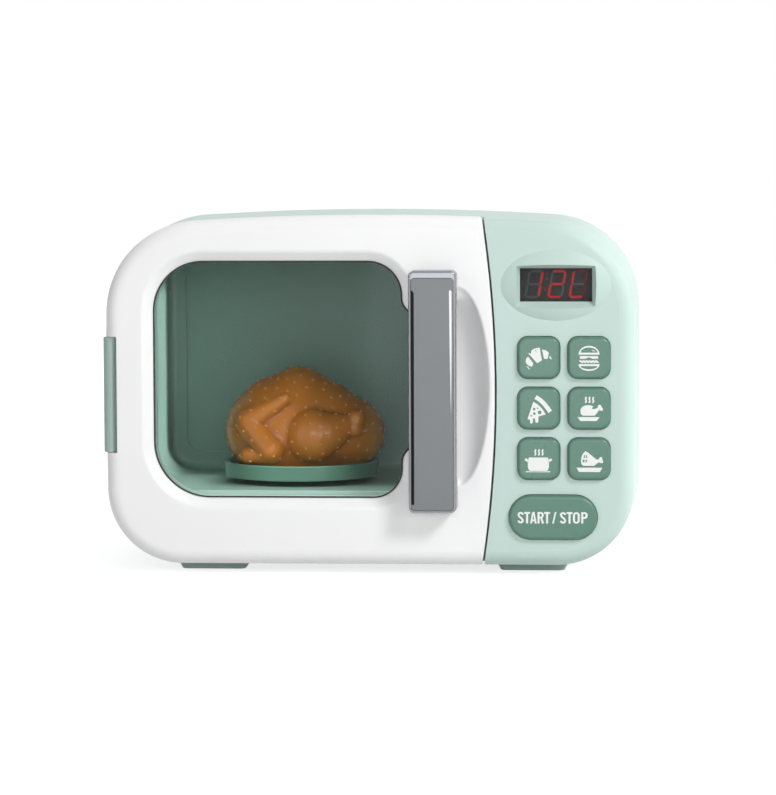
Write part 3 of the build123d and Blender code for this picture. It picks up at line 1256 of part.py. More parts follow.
def cap_with_stem(face, lip, inside, x, z):
    """Push button: hollow cap with rounded edges, a lip behind the panel and a stem."""
    cap = slab(face, -BUTTON_PROUD, BUTTON_BACK)
    cap = fillet(cap.faces().sort_by(Axis.Y)[0].edges(), BUTTON_EDGE)
    cap += slab(lip, BUTTON_BACK - BUTTON_LIP_THICKNESS, BUTTON_BACK)
    cap -= slab(inside, BUTTON_WALL - BUTTON_PROUD, BUTTON_BACK + CUT)
    return cap + rod(x, z, BUTTON_STEM, BUTTON_WALL - BUTTON_PROUD - SEAT_GAP, STEM_END)


def food_button(x, z):
    lip, inside = button_face(x, z, BUTTON_LIP), button_face(x, z, -BUTTON_WALL)
    return cap_with_stem(button_face(x, z), lip, inside, x, z)


def start_button():
    lip, inside = start_face(BUTTON_LIP), start_face(-BUTTON_WALL)
    return cap_with_stem(start_face(), lip, inside, START_X, START_Z)


def display_lens():
    """Dark clear lens behind the display well."""
    start = LENS_DEPTH + SEAT_GAP
    return slab(display_face(LENS_LAP), start, start + LENS_THICKNESS)


def display_module():
    """Four-digit display block on its pins, between the lens and the circuit board."""
    start = LENS_DEPTH + LENS_THICKNESS + 2 * SEAT_GAP
    block = slab(display_face(LENS_LAP), start, start + MODULE_THICKNESS)
    back = start + MODULE_THICKNESS
    for step in range(DISPLAY_PINS):
        x = OVAL_X + (step - (DISPLAY_PINS - 1) / 2) * DISPLAY_PIN_PITCH
        for side in (-1, 1):
            block += rod(x, OVAL_Z + side * DISPLAY_HEIGHT / 2, PIN_WIRE, back, BOARD_DEPTH)
    return block


def keypad_membrane():
    """Rubber keypad: a thin sheet on the board with a soft dome under each button."""
    lower_part = rounded(BOARD_LEFT, BOARD_RIGHT, 0, OVAL_Z - OVAL_HEIGHT / 2, BOARD_BOSS)
    sheet = offset(board_outline(), -MEMBRANE_THICKNESS) & lower_part
    start = BOARD_DEPTH - SEAT_GAP - MEMBRANE_THICKNESS
    pad = slab(sheet, start, BOARD_DEPTH - SEAT_GAP)
    for x, z in BOARD_SCREWS:
        pad -= rod(x, z, BOARD_BOSS + LOOSE_GAP, 0, BOARD_DEPTH)
    for x, z in button_places() + [(START_X, START_Z)]:
        wide = at_depth(Pos(x, z) * Circle(DOME_RADIUS + DOME_FOOT), start + SEAT_GAP)
        narrow = at_depth(Pos(x, z) * Circle(DOME_RADIUS), start - DOME_HEIGHT)
        pad += loft([wide, narrow], ruled=True)
    return pad


def control_board():
    """Printed circuit board behind the panel, with its controller chip and two small parts."""
    board = slab(board_outline(), BOARD_DEPTH, BOARD_DEPTH + BOARD_THICKNESS)
    back = BOARD_DEPTH + BOARD_THICKNESS
    for x, z in BOARD_SCREWS:
        board -= rod(x, z, SMALL_SCREW + SEAT_GAP, 0, back + CUT)
    middle_x = (BOARD_LEFT + BOARD_RIGHT) / 2
    for width, height, depth, x, z in BOARD_PARTS:
        chip = Pos(middle_x + x, z) * RectangleRounded(width, height, CHIP_CORNER)
        board += slab(chip, back, back + depth)
    return board


def board_screws():
    seat = BOARD_DEPTH + BOARD_THICKNESS
    return Part() + [small_screw(x, z, seat, BOARD_SCREW_LENGTH) for x, z in BOARD_SCREWS]


# ---------------------------------------------------------------- rear fittings

def speaker():
    """Small loudspeaker: rim against the grille, dished cone, tapered basket and magnet."""
    back = CASING_DEPTH - WALL - SEAT_GAP
    profile = Polyline(
        (0, back - SPEAKER_DISH),
        (SPEAKER_CAP_RADIUS, back - SPEAKER_DISH),
        (SPEAKER_RADIUS - SPEAKER_RIM, back - SEAT_GAP),
        (SPEAKER_RADIUS - SPEAKER_RIM, back),
        (SPEAKER_RADIUS, back),
        (SPEAKER_RADIUS, back - SPEAKER_RIM / 2),
        (SPEAKER_RADIUS - SPEAKER_RIM / 2, back - SPEAKER_RIM / 2),
        (MAGNET_RADIUS + BASKET_FOOT, back - SPEAKER_DEPTH / 2),
        (MAGNET_RADIUS, back - SPEAKER_DEPTH / 2),
        (MAGNET_RADIUS, back - SPEAKER_DEPTH),
        (0, back - SPEAKER_DEPTH),
        close=True,
    )
    return Pos(SPEAKER_X, 0, SPEAKER_Z) * revolve(make_face(profile), Axis.Y)


def tray_size():
    width = BATTERY_LENGTH + TRAY_END_ROOM
    height = (BATTERY_COUNT - 1) * BATTERY_PITCH + 2 * BATTERY_RADIUS + 2 * LOOSE_GAP
    return width, height


def battery_opening(grow=0.0):
    """Opening for the battery cover: a rectangle with a screw tab at its top."""
    width, height = tray_size()
    margin = TRAY_LEDGE + grow
    main = RectangleRounded(width + 2 * margin, height + 2 * margin, COVER_CORNER + grow)
    tab = RectangleRounded(2 * COVER_TAB + 2 * grow, COVER_TAB + 2 * margin, COVER_CORNER + grow)
    return Pos(BATTERY_X, BATTERY_Z) * (main + Pos(0, height / 2 + COVER_TAB / 2) * tab)


def cover_screw_place():
    return BATTERY_X, BATTERY_Z + tray_size()[1] / 2 + COVER_TAB / 2 + TRAY_LEDGE


def tray_screw_places():
    """Screw bosses beside the battery tray."""
    reach = tray_size()[0] / 2 + TRAY_LEDGE + TRAY_LAP + BOARD_BOSS + LOOSE_GAP
    return [(BATTERY_X + side * reach, BATTERY_Z) for side in (-1, 1)]


def battery_tray():
    """Open tray for three cells, with a flange against the rear wall and cradle ribs inside."""
    width, height = tray_size()
    back = CASING_DEPTH - WALL - SEAT_GAP
    floor = back - 2 * BATTERY_RADIUS - LOOSE_GAP
    outer = RectangleRounded(width + 2 * TRAY_WALL, height + 2 * TRAY_WALL, TRAY_CORNER)
    place = Pos(BATTERY_X, BATTERY_Z)
    tray = slab(place * outer, floor - TRAY_WALL, back)
    tray += slab(battery_opening(TRAY_LAP), back - TRAY_WALL, back)
    x, z = cover_screw_place()
    tray += rod(x, z, TRAY_POST, back - COVER_SCREW_LENGTH, back)
    ear_seat = back - TRAY_BOSS
    for ear_x, ear_z in tray_screw_places():
        arm_middle = (BATTERY_X + ear_x) / 2
        arm = Pos(arm_middle, ear_z) * Rectangle(abs(ear_x - BATTERY_X), 2 * BOARD_BOSS)
        tray += slab(arm, ear_seat - EAR_THICKNESS, ear_seat)
        tray += rod(ear_x, ear_z, BOARD_BOSS, ear_seat - EAR_THICKNESS, ear_seat)
        tray -= rod(ear_x, ear_z, SMALL_SCREW + SEAT_GAP, floor, ear_seat + SEAT_GAP)
    tray -= slab(place * Rectangle(width, height), floor, back + CUT)
    tray -= rod(x, z, SMALL_SCREW, back - COVER_SCREW_LENGTH + CUT, back + CUT)
    for side in (-1, 1):
        rib_x = BATTERY_X + side * BATTERY_LENGTH / 4
        rib = Pos(rib_x, BATTERY_Z) * Rectangle(TRAY_WALL, height)
        rib = slab(rib, floor, floor + BATTERY_RADIUS / 2)
        for z_cell in cell_heights():
            rib -= across_cell(z_cell, LOOSE_GAP)
        tray += rib
    return tray


def tray_screws():
    """Two screws from inside the casing that hold the tray to bosses on the rear wall."""
    seat = CASING_DEPTH - WALL - SEAT_GAP - TRAY_BOSS - EAR_THICKNESS
    return Part() + [screw_back(x, z, seat, TRAY_SCREW_LENGTH) for x, z in tray_screw_places()]


def screw_back(x, z, seat, length):
    """Screw driven from inside towards the rear, its head against a seat at one depth."""
    radius = SMALL_SCREW - SCREW_THREAD_GAP
    turned = Rot(-90, 0, 0) * screw(radius, length, SMALL_HEAD_RADIUS, SMALL_HEAD_HEIGHT)
    return Pos(x, seat - SMALL_HEAD_HEIGHT, z) * turned


def cell_heights():
    middle = (BATTERY_COUNT - 1) / 2
    return [BATTERY_Z + (i - middle) * BATTERY_PITCH for i in range(BATTERY_COUNT)]


def across_cell(z, grow=0.0):
    depth = CASING_DEPTH - WALL - SEAT_GAP - BATTERY_RADIUS
    half = BATTERY_LENGTH / 2
    return across(depth, z, BATTERY_RADIUS + grow, BATTERY_X - half, BATTERY_X + half)


def batteries():
    """Three AA cells, each with its raised positive cap, in turn pointing left and right."""
    depth = CASING_DEPTH - WALL - SEAT_GAP - BATTERY_RADIUS
    half = BATTERY_LENGTH / 2 - CELL_CAP
    cells = []
    for i, z in enumerate(cell_heights()):
        cell = across(depth, z, BATTERY_RADIUS, BATTERY_X - half, BATTERY_X + half)
        cell = fillet(cell.edges().filter_by(GeomType.CIRCLE), CELL_EDGE)
        start = BATTERY_X + half if i % 2 == 0 else BATTERY_X - half - CELL_CAP
        cells.append(cell + across(depth, z, CELL_CAP_RADIUS, start, start + CELL_CAP))
    return Part() + cells


def battery_contacts():
    """Contact plates at both ends of the tray, with a tapered spring at each negative end."""
    width = tray_size()[0]
    depth = CASING_DEPTH - WALL - SEAT_GAP - BATTERY_RADIUS
    contacts = []
    for i, z in enumerate(cell_heights()):
        for side in (-1, 1):
            wall = BATTERY_X + side * width / 2
            middle = wall - side * (CONTACT_THICKNESS / 2 + CONTACT_LIFT)
            plate = Pos(middle, depth, z) * Box(CONTACT_THICKNESS, CONTACT_SIZE, CONTACT_SIZE)
            negative = (side == -1) == (i % 2 == 0)
            cell_end = BATTERY_LENGTH / 2 - (CELL_CAP if negative else 0)
            length = abs(wall - BATTERY_X) - CONTACT_THICKNESS - cell_end - SPRING_GAP
            ends = (Align.CENTER, Align.CENTER, Align.MIN)
            spring = Cone(SPRING_WIDE, SPRING_NARROW, length, align=ends)
            root = Plane(origin=(wall - side * CONTACT_THICKNESS, depth, z), z_dir=(-side, 0, 0))
            contacts.append(plate + root * spring)
    return Part() + contacts


def battery_cover():
    """Flush cover over the batteries, with a screw tab and grip ribs."""
    near = CASING_DEPTH - WALL + SEAT_GAP
    cover = slab(battery_opening(-COVER_CLEARANCE), near, CASING_DEPTH)
    x, z = cover_screw_place()
    far, head = CASING_DEPTH + CUT, CASING_DEPTH - SMALL_HEAD_HEIGHT
    cover -= rod(x, z, SMALL_SCREW + SEAT_GAP, near - CUT, far)
    return cover - rod(x, z, SMALL_HEAD_RADIUS + SEAT_GAP, head, far)


def battery_cover_screw():
    x, z = cover_screw_place()
    return small_screw(x, z, CASING_DEPTH - SMALL_HEAD_HEIGHT, COVER_SCREW_LENGTH - 2 * CUT)


def switch_screw_places():
    reach = SWITCH_BODY_WIDTH / 2 - SWITCH_BOSS
    return [(SWITCH_X + side * reach, SWITCH_Z) for side in (-1, 1)]


def power_switch_body():
    """Body of the slide switch behind the rear wall, held by a screw through each ear."""
    back = CASING_DEPTH - WALL - SEAT_GAP
    middle = Pos(SWITCH_X, SWITCH_Z)
    core_width = SWITCH_BODY_WIDTH - 4 * SWITCH_BOSS - 2 * LOOSE_GAP
    body = slab(middle * Rectangle(core_width, SWITCH_BODY_HEIGHT), back - SWITCH_BODY_DEPTH, back)
    front = back - SWITCH_BODY_DEPTH
    ears = slab(middle * Rectangle(SWITCH_BODY_WIDTH, SWITCH_BODY_HEIGHT), front - SWITCH_EAR, front)
    pocket = Rectangle(core_width - 2 * SWITCH_SIDE, SWITCH_SLOT + SWITCH_PLAY)
    body = body + ears - slab(middle * pocket, back - SWITCH_POCKET, back + CUT)
    for x, z in switch_screw_places():
        body -= rod(x, z, SMALL_SCREW + SEAT_GAP, front - 2 * SWITCH_EAR, front + SEAT_GAP)
    return body


def power_switch_slider():
    """Sliding knob of the power switch, ridged on top."""
    back = CASING_DEPTH - WALL - SEAT_GAP
    x = SWITCH_X - SWITCH_TRAVEL / 2
    middle = Pos(x, SWITCH_Z)
    foot, shoulder = back - SWITCH_POCKET + SEAT_GAP, back - LOOSE_GAP
    top = CASING_DEPTH + SWITCH_PROUD
    base = slab(middle * Rectangle(SWITCH_KNOB + 2 * SWITCH_SIDE, SWITCH_SLOT), foot, shoulder)
    knob = slab(middle * Rectangle(SWITCH_KNOB, SWITCH_SLOT - 2 * LOOSE_GAP), shoulder, top)
    for step in (-1, 0, 1):
        ridge = Pos(x + step * SWITCH_KNOB / 3, SWITCH_Z) * Rectangle(RIDGE, SWITCH_SLOT)
        knob -= slab(ridge, top - RIDGE, top + CUT)
    return base + knob


def switch_screws():
    seat = CASING_DEPTH - WALL - SEAT_GAP - SWITCH_BODY_DEPTH - SWITCH_EAR
    return Part() + [screw_back(x, z, seat, SWITCH_SCREW_LENGTH) for x, z in switch_screw_places()]


# ---------------------------------------------------------------- build

PIECES = {
    "front_casing": front_casing,
    "rear_casing": rear_casing,
    "feet": feet,
    "casing_screws": casing_screws,
    "cavity_liner": cavity_liner,
    "liner_screws": liner_screws,
    "hinge_bracket": hinge_bracket,
    "hinge_screws": hinge_screws,
    "lamp_cover": lamp_cover,
    "lamp_holder": lamp_holder,
    "cavity_lamp": cavity_lamp,
    "gearbox_base": gearbox_base,
    "gearbox_cover": gearbox_cover,
    "gearbox_screws": gearbox_screws,
    "gear_pins": gear_pins,
    "drive_motor": drive_motor,
    "motor_pinion": motor_pinion,
    "reduction_gear": reduction_gear,
    "output_gear": output_gear,
    "turntable_plate": turntable_plate,
    "roast_chicken": roast_chicken,
    "door_frame": door_frame,
    "door_back": door_back,
    "window_pane": window_pane,
    "window_seal": window_seal,
    "hinge_pin": hinge_pin,
    "door_handle": door_handle,
    "handle_facing": handle_facing,
    "handle_screws": handle_screws,
    "door_screws": door_screws,
    "start_button": start_button,
    "display_lens": display_lens,
    "display_module": display_module,
    "keypad_membrane": keypad_membrane,
    "control_board": control_board,
    "board_screws": board_screws,
    "speaker": speaker,
    "battery_tray": battery_tray,
    "tray_screws": tray_screws,
    "batteries": batteries,
    "battery_contacts": battery_contacts,
    "battery_cover": battery_cover,
    "battery_cover_screw": battery_cover_screw,
    "power_switch_body": power_switch_body,
    "power_switch_slider": power_switch_slider,
    "switch_screws": switch_screws,
}

os.makedirs("parts", exist_ok=True)
for name, make in PIECES.items():
    write(name, make())
for name, (x, z) in zip(BUTTON_NAMES, button_places()):
    write(name, food_button(x, z))
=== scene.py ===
import bpy
from math import cos, pi, radians, sin
from mathutils import Matrix, Quaternion, Vector


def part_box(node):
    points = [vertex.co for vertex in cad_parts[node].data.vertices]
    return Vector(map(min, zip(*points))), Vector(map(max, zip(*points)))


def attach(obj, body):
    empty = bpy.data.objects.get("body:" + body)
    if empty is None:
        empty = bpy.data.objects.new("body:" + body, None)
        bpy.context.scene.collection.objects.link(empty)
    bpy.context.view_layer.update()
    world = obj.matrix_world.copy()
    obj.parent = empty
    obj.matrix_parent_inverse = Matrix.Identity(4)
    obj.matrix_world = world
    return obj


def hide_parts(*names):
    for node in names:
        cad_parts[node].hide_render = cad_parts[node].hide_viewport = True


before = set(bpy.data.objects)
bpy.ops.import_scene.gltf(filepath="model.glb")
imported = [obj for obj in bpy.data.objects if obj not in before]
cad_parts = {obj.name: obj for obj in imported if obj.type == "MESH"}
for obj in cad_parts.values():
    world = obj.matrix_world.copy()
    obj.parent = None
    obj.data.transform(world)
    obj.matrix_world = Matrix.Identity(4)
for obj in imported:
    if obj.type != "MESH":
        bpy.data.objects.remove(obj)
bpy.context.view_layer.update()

bpy.ops.object.select_all(action="DESELECT")

# ---- Camera, floor and light ----
# The object stands on a plain pale floor and is seen from the front, a little from the right and
# from above, through a long lens. A large soft lamp stands at the upper right with weaker ones
# round it, three small ones light the cavity, and the white surroundings fill in the rest.
FOCAL_LENGTH, ROLL = 181.7, -0.24
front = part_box("door_frame")[0].y
eye = Vector((0.1602, front - 1.9393, 0.2455))
aim = Vector((0.00974, front, 0.0872))
level = (aim - eye).to_track_quat("-Z", "Y")
rolled = level @ Quaternion((0, 0, 1), radians(ROLL))
bpy.ops.object.camera_add(location=eye, rotation=rolled.to_euler())
camera = bpy.context.object
camera.name = "camera"
camera.data.lens = FOCAL_LENGTH
camera.data.clip_end = 50
bpy.context.scene.camera = camera
bpy.context.scene.view_settings.view_transform = "Standard"


def lamp(name, place, target, size, power):
    """Flat soft lamp that shines from a place towards a target."""
    turn = (Vector(target) - Vector(place)).to_track_quat("-Z", "Y").to_euler()
    bpy.ops.object.light_add(type="AREA", location=place, rotation=turn)
    made = bpy.context.object
    made.name = name
    made.data.shape = "RECTANGLE"
    made.data.size, made.data.size_y = size
    made.data.energy = power
    return made


lamp("key_lamp", (1.45, -1.42, 1.62), (0.03, -0.05, 0.09), (0.62, 0.62), 30)
lamp("side_lamp", (0.72, -1.10, 0.26), (-0.02, 0, 0.09), (0.34, 0.34), 1.5)
lamp("front_lamp", (0.10, -1.9, 0.42), (-0.04, 0, 0.09), (0.5, 0.4), 3.6)
lamp("right_lamp", (1.1, 0.15, 0.40), (0.1, 0, 0.09), (0.5, 0.9), 5)
lamp("left_lamp", (-1.1, -1.1, 0.50), (-0.1, 0, 0.09), (0.6, 0.9), 2.4)
lamp("top_lamp", (0.1, 0.35, 1.3), (0, 0, 0.1), (0.9, 0.6), 3)
glows = (
    ("wall_glow", (-0.094, 0.036, 0.088), (-0.115, 0.036, 0.088), (0.036, 0.095), 0.018, 50),
    ("floor_glow", (-0.045, -0.036, 0.070), (-0.045, -0.034, 0.034), (0.120, 0.006), 0.010, 90),
    ("corner_glow", (-0.098, 0.0, 0.075), (-0.098, 0.0, 0.034), (0.024, 0.060), 0.005, 50),
)
for name, place, target, size, power, spread in glows:
    glow = lamp(name, place, target, size, power)
    glow.data.spread = radians(spread)
    glow.visible_camera = False
for name in ("right_lamp", "top_lamp", "wall_glow", "floor_glow", "corner_glow"):
    bpy.data.objects[name].visible_glossy = False


class Value:
    """A shader socket that takes part in sums with numbers and with other sockets."""

    def __init__(self, tree, socket):
        self.tree = tree
        self.socket = socket

    def math(self, kind, other, swapped=False):
        node = self.tree.nodes.new("ShaderNodeMath")
        node.operation = kind
        for socket, value in zip(node.inputs, (other, self) if swapped else (self, other)):
            if isinstance(value, Value):
                self.tree.links.new(value.socket, socket)
            else:
                socket.default_value = value
        return Value(self.tree, node.outputs[0])

    def __add__(self, other):
        return self.math("ADD", other)

    def __radd__(self, other):
        return self.math("ADD", other, swapped=True)

    def __mul__(self, other):
        return self.math("MULTIPLY", other)

    def __rmul__(self, other):
        return self.math("MULTIPLY", other, swapped=True)


class Nodes:
    """A shader tree that takes each node by its type, its settings and its sockets."""

    def __init__(self, tree):
        self.tree = tree

    def node(self, kind, output=0, settings=(), **inputs):
        """Adds one node, sets or links its inputs and gives back one output."""
        made = self.tree.nodes.new("ShaderNode" + kind)
        for name, value in dict(settings).items():
            setattr(made, name, value)
        for name, value in inputs.items():
            self.feed(made.inputs[name.replace("_", " ")], value)
        return Value(self.tree, made.outputs[output])

    def feed(self, socket, value):
        """Links a socket to a value, or sets it to a number or colour."""
        if isinstance(value, Value):
            self.tree.links.new(value.socket, socket)
        else:
            socket.default_value = value

    def cover(self, factor, under, over, output="Material Output"):
        """Mixes two shaders by a factor and makes the mixture the surface."""
        mixed = self.node("MixShader")
        for socket, value in zip(mixed.socket.node.inputs, (factor, under, over)):
            self.feed(socket, value)
        self.feed(self.tree.nodes[output].inputs["Surface"], mixed)

    def seen(self):
        """1 on the rays that show the white surroundings, and 0 on the rays that light."""
        kinds = ("Is Camera Ray", "Is Transmission Ray", "Is Glossy Ray")
        camera_ray, clear_ray, glossy_ray = [self.node("LightPath", kind) for kind in kinds]
        return camera_ray.math("MAXIMUM", clear_ray).math("MAXIMUM", glossy_ray)


class Finish(Nodes):
    """A material round one Principled shader, with its constants set on the shader itself."""

    def __init__(self, name, colour, roughness, **constants):
        self.material = bpy.data.materials.new(name)
        self.material.use_nodes = True
        super().__init__(self.material.node_tree)
        self.shader = self.tree.nodes["Principled BSDF"]
        self.shader.inputs["Base Color"].default_value = (*linear(colour), 1)
        self.shader.inputs["Roughness"].default_value = roughness
        for constant, value in constants.items():
            self.shader.inputs[constant.replace("_", " ")].default_value = value
        self.place = self.node("TexCoord", "Object")

    def noise(self, scale, detail):
        return self.node("TexNoise", Vector=self.place, Scale=scale, Detail=detail)

    def tint(self, factor, darker, lighter):
        """Mixes two sRGB colours by a factor between 0 and 1."""
        mixed = self.tree.nodes.new("ShaderNodeMix")
        mixed.data_type = "RGBA"
        self.feed(mixed.inputs[0], factor)
        for socket, colour in ((mixed.inputs[6], darker), (mixed.inputs[7], lighter)):
            self.feed(socket, colour if isinstance(colour, Value) else (*linear(colour), 1))
        return Value(self.tree, mixed.outputs[2])

    def vary(self, socket, value):
        """Links one of the shader's own sockets to a value that changes over the surface."""
        self.feed(self.shader.inputs[socket], value)

    def bump(self, height, strength, distance):
        normal = self.node("Bump", Height=height, Strength=strength, Distance=distance)
        self.vary("Normal", normal)


def linear(colour):
    """An sRGB colour of 0 to 255 as the linear values that shaders take."""
    parts = [part / 255 for part in colour]
    return tuple(p / 12.92 if p <= 0.04045 else ((p + 0.055) / 1.055) ** 2.4 for p in parts)


WHITE = (1, 1, 1, 1)
FILL_LIGHT = 0.22
world = bpy.data.worlds.new("surroundings")
world.use_nodes = True
bpy.context.scene.world = world
sky = Nodes(world.node_tree)
fill = sky.tree.nodes["Background"]
fill.inputs["Color"].default_value = WHITE
fill.inputs["Strength"].default_value = FILL_LIGHT
white = sky.node("Background", Color=WHITE)
sky.cover(sky.seen(), Value(sky.tree, fill.outputs[0]), white, "World Output")

FLOOR_SIZE, FLOOR_GREY = 6, 220.6
SHADED_REACH, BRIGHT_REACH = 0.2, 1.2
SHADED_GLOW, BRIGHT_GLOW = 0.74, 1.0
bpy.ops.mesh.primitive_grid_add(x_subdivisions=8, y_subdivisions=8, size=FLOOR_SIZE)
floor = bpy.context.object
floor.name = "floor"
floor.select_set(False)
paper = Finish("floor_paper", [FLOOR_GREY] * 3, 0.9, Specular_IOR_Level=0.1, Emission_Strength=1.0)
reach = paper.node("VectorMath", "Value", {"operation": "LENGTH"}, Vector=paper.place)
glow = paper.node(
    "MapRange", Value=reach, From_Min=SHADED_REACH, From_Max=BRIGHT_REACH,
    To_Min=SHADED_GLOW, To_Max=BRIGHT_GLOW,
)
paper.vary("Emission Color", paper.seen() * glow)
floor.data.materials.append(paper.material)

CARD_WIDTH, CARD_HEIGHT, CARD_GLOW = 0.13, 0.30, 3.0
card_place = (0.035, front - 0.35, 0.10)
bpy.ops.mesh.primitive_plane_add(size=1, location=card_place, rotation=(pi / 2, 0, 0))
card = bpy.context.object
card.name = "reflector"
card.scale = (CARD_WIDTH, CARD_HEIGHT, 1)
card.select_set(False)
for kind in ("camera", "diffuse", "transmission", "volume_scatter", "shadow"):
    setattr(card, "visible_" + kind, False)
glare = Finish("reflector_white", (0, 0, 0), 0.5, Emission_Color=WHITE, Emission_Strength=CARD_GLOW)
card.data.materials.append(glare.material)


# ---- Casing ----
# Two injection-moulded halves in light mint ABS with a satin gloss, joined round the middle and
# screwed together from behind. Such mouldings show a very fine ripple and a faint cloudiness.
CLOUD_SCALE, SMEAR_SCALE, RIPPLE_SCALE, RIPPLE_HEIGHT = 18.0, 55.0, 900.0, 0.0002


def moulded(name, colour, roughness=0.32, cloud=0.02, ripple=0.12, **constants):
    """Moulded plastic: faint clouds in its colour, uneven gloss and a very fine ripple."""
    finish = Finish(name, colour, roughness, **constants)
    darker = [part * (1 - cloud) for part in colour]
    lighter = [min(255, part * (1 + cloud)) for part in colour]
    finish.vary("Base Color", finish.tint(finish.noise(CLOUD_SCALE, 3.0), darker, lighter))
    smear = finish.noise(SMEAR_SCALE, 4.0)
    finish.vary("Roughness", roughness * 0.85 + smear * (roughness * 0.3))
    finish.bump(finish.noise(RIPPLE_SCALE, 2.0), ripple, RIPPLE_HEIGHT)
    return finish.material


def dress(material, *names):
    """Gives a material to every slot of the named CAD nodes."""
    for name in names:
        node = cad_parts[name]
        if not node.data.materials:
            node.data.materials.append(material)
        for slot in range(len(node.data.materials)):
            node.data.materials[slot] = material


mint = moulded("mint_plastic", (200, 222, 215), 0.42, cloud=0.008, Specular_IOR_Level=0.3)
dress(mint, "front_casing", "rear_casing", "battery_cover", "battery_tray")

# ---- Feet ----
# Four feet moulded in grey-green ABS, a little darker than the casing. Each has a spigot that is
# pressed into the underside.
# The feet's colour is set lighter than their own as painted light, for the shade under the casing.
foot_green = moulded("foot_plastic", (182, 202, 196), 0.42)
dress(foot_green, "feet")

# ---- Cavity, lamp and hinge ----
# The cavity is one green ABS moulding that is screwed in from the back, with a small lamp behind a
# frosted cap in its right wall. The hinge knuckle is moulded in a lighter green and is screwed on
# behind the floor of the door's recess.
cavity_green = moulded("cavity_plastic", (131, 159, 149), 0.30, Specular_IOR_Level=0.3)
dress(cavity_green, "cavity_liner")
hinge_green = moulded("hinge_plastic", (158, 182, 173), 0.34)
dress(hinge_green, "hinge_bracket")
lamp_white = moulded("lamp_plastic", (225, 232, 226), 0.35)
dress(lamp_white, "lamp_holder", "cavity_lamp")
frosted = moulded("lamp_frosted", (238, 242, 240), 0.40, Transmission_Weight=0.7, IOR=1.49)
dress(frosted, "lamp_cover")

# ---- Turntable ----
# A round plate with a raised rim, moulded in glossy green ABS. It lifts off the six-sided key of
# the gear below it.
plate_green = moulded("plate_plastic", (102, 143, 125), 0.10, ripple=0.05)
dress(plate_green, "turntable_plate")

# ---- Door ----
# A white outer frame with a mint inner frame screwed to it from behind. The bar handle is sprayed
# silver, has a grey facing let into it and is screwed on from inside the door, and a thin black
# rubber seal runs round the window.
door_white = moulded("door_plastic", (252, 252, 252), 0.36, cloud=0.003, Specular_IOR_Level=0.35)
dress(door_white, "door_frame")
door_mint = moulded("door_inner_plastic", (196, 222, 212), 0.30)
dress(door_mint, "door_back")
silver = moulded("silver_plastic", (140, 143, 148), 0.26, Metallic=0.7)
dress(silver, "door_handle")
facing_grey = moulded("facing_plastic", (112, 116, 118), 0.34, Metallic=0.1)
dress(facing_grey, "handle_facing")
seal_black = moulded("seal_rubber", (25, 27, 27), 0.6)
dress(seal_black, "window_seal")


# ---- Window pane ----
# A sheet of clear polystyrene, held between the two door frames. It reflects very little when it
# is seen straight on and more at a slant.
def glazed(name, colour, roughness, straight, through, **constants):
    """Clear plastic: a tint shows through, and the gloss grows from its share seen straight on."""
    finish = Finish(name, colour, roughness, **constants)
    slant = finish.node("LayerWeight", "Facing", Blend=0.5)
    gloss = straight + (1 - straight) * slant * slant * slant * slant * slant
    clear = finish.node("BsdfTransparent", Color=(*through, 1))
    finish.cover(gloss, clear, Value(finish.tree, finish.shader.outputs[0]))
    return finish.material


pane = glazed("window_plastic", (235, 238, 238), 0.04, 0.006, (0.95, 0.97, 0.965), Metallic=1.0)
dress(pane, "window_pane")

# ---- Buttons ----
# Seven push buttons moulded in grey-green ABS, each in its own hole in the panel. The six square
# ones carry white printed food signs, and the long one carries START / STOP.
button_green = moulded("button_plastic", (85, 128, 111), 0.28, cloud=0.008)
food_nodes = [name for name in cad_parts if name.startswith("button_")]
dress(button_green, "start_button", *food_nodes)
print_white = moulded("print_white", (240, 242, 240), 0.45, cloud=0.005)
PRINT = 0.0001


def arc(x, z, across, high, start, stop, steps=16):
    """Points along an arc of an ellipse, in millimetres and degrees."""
    turns = [radians(start + (stop - start) * i / steps) for i in range(steps + 1)]
    return [(x + across * cos(t), z + high * sin(t)) for t in turns]


def dot(x, z, radius):
    """Round dot of 24 points."""
    return arc(x, z, radius, radius, 0, 345, 23)


def stroke(points, width):
    """Outline of a line of even width along some points, with square ends."""
    left, right = [], []
    for i, (x, z) in enumerate(points):
        x0, z0 = points[max(i - 1, 0)]
        x1, z1 = points[min(i + 1, len(points) - 1)]
        long = ((x1 - x0) ** 2 + (z1 - z0) ** 2) ** 0.5
        dx, dz = -(z1 - z0) / long * width / 2, (x1 - x0) / long * width / 2
        left.append((x + dx, z + dz))
        right.append((x - dx, z - dz))
    return left + right[::-1]


STEAM_WIDTH, STEAM_SPACING, STEAM_SWAY, STEAM_LEAN, STEAM_STEPS = 0.72, 1.75, 0.30, 0.7, 12


def steam(x, low, high):
    """Three rising lines of steam, side by side."""
    lines = []
    for start in (x - STEAM_SPACING, x, x + STEAM_SPACING):
        line = []
        for i in range(STEAM_STEPS + 1):
            share = i / STEAM_STEPS
            drift = share * STEAM_LEAN + STEAM_SWAY * sin(2 * pi * share)
            line.append((start + drift, low + (high - low) * share))
        lines.append([stroke(line, STEAM_WIDTH)])
    return lines


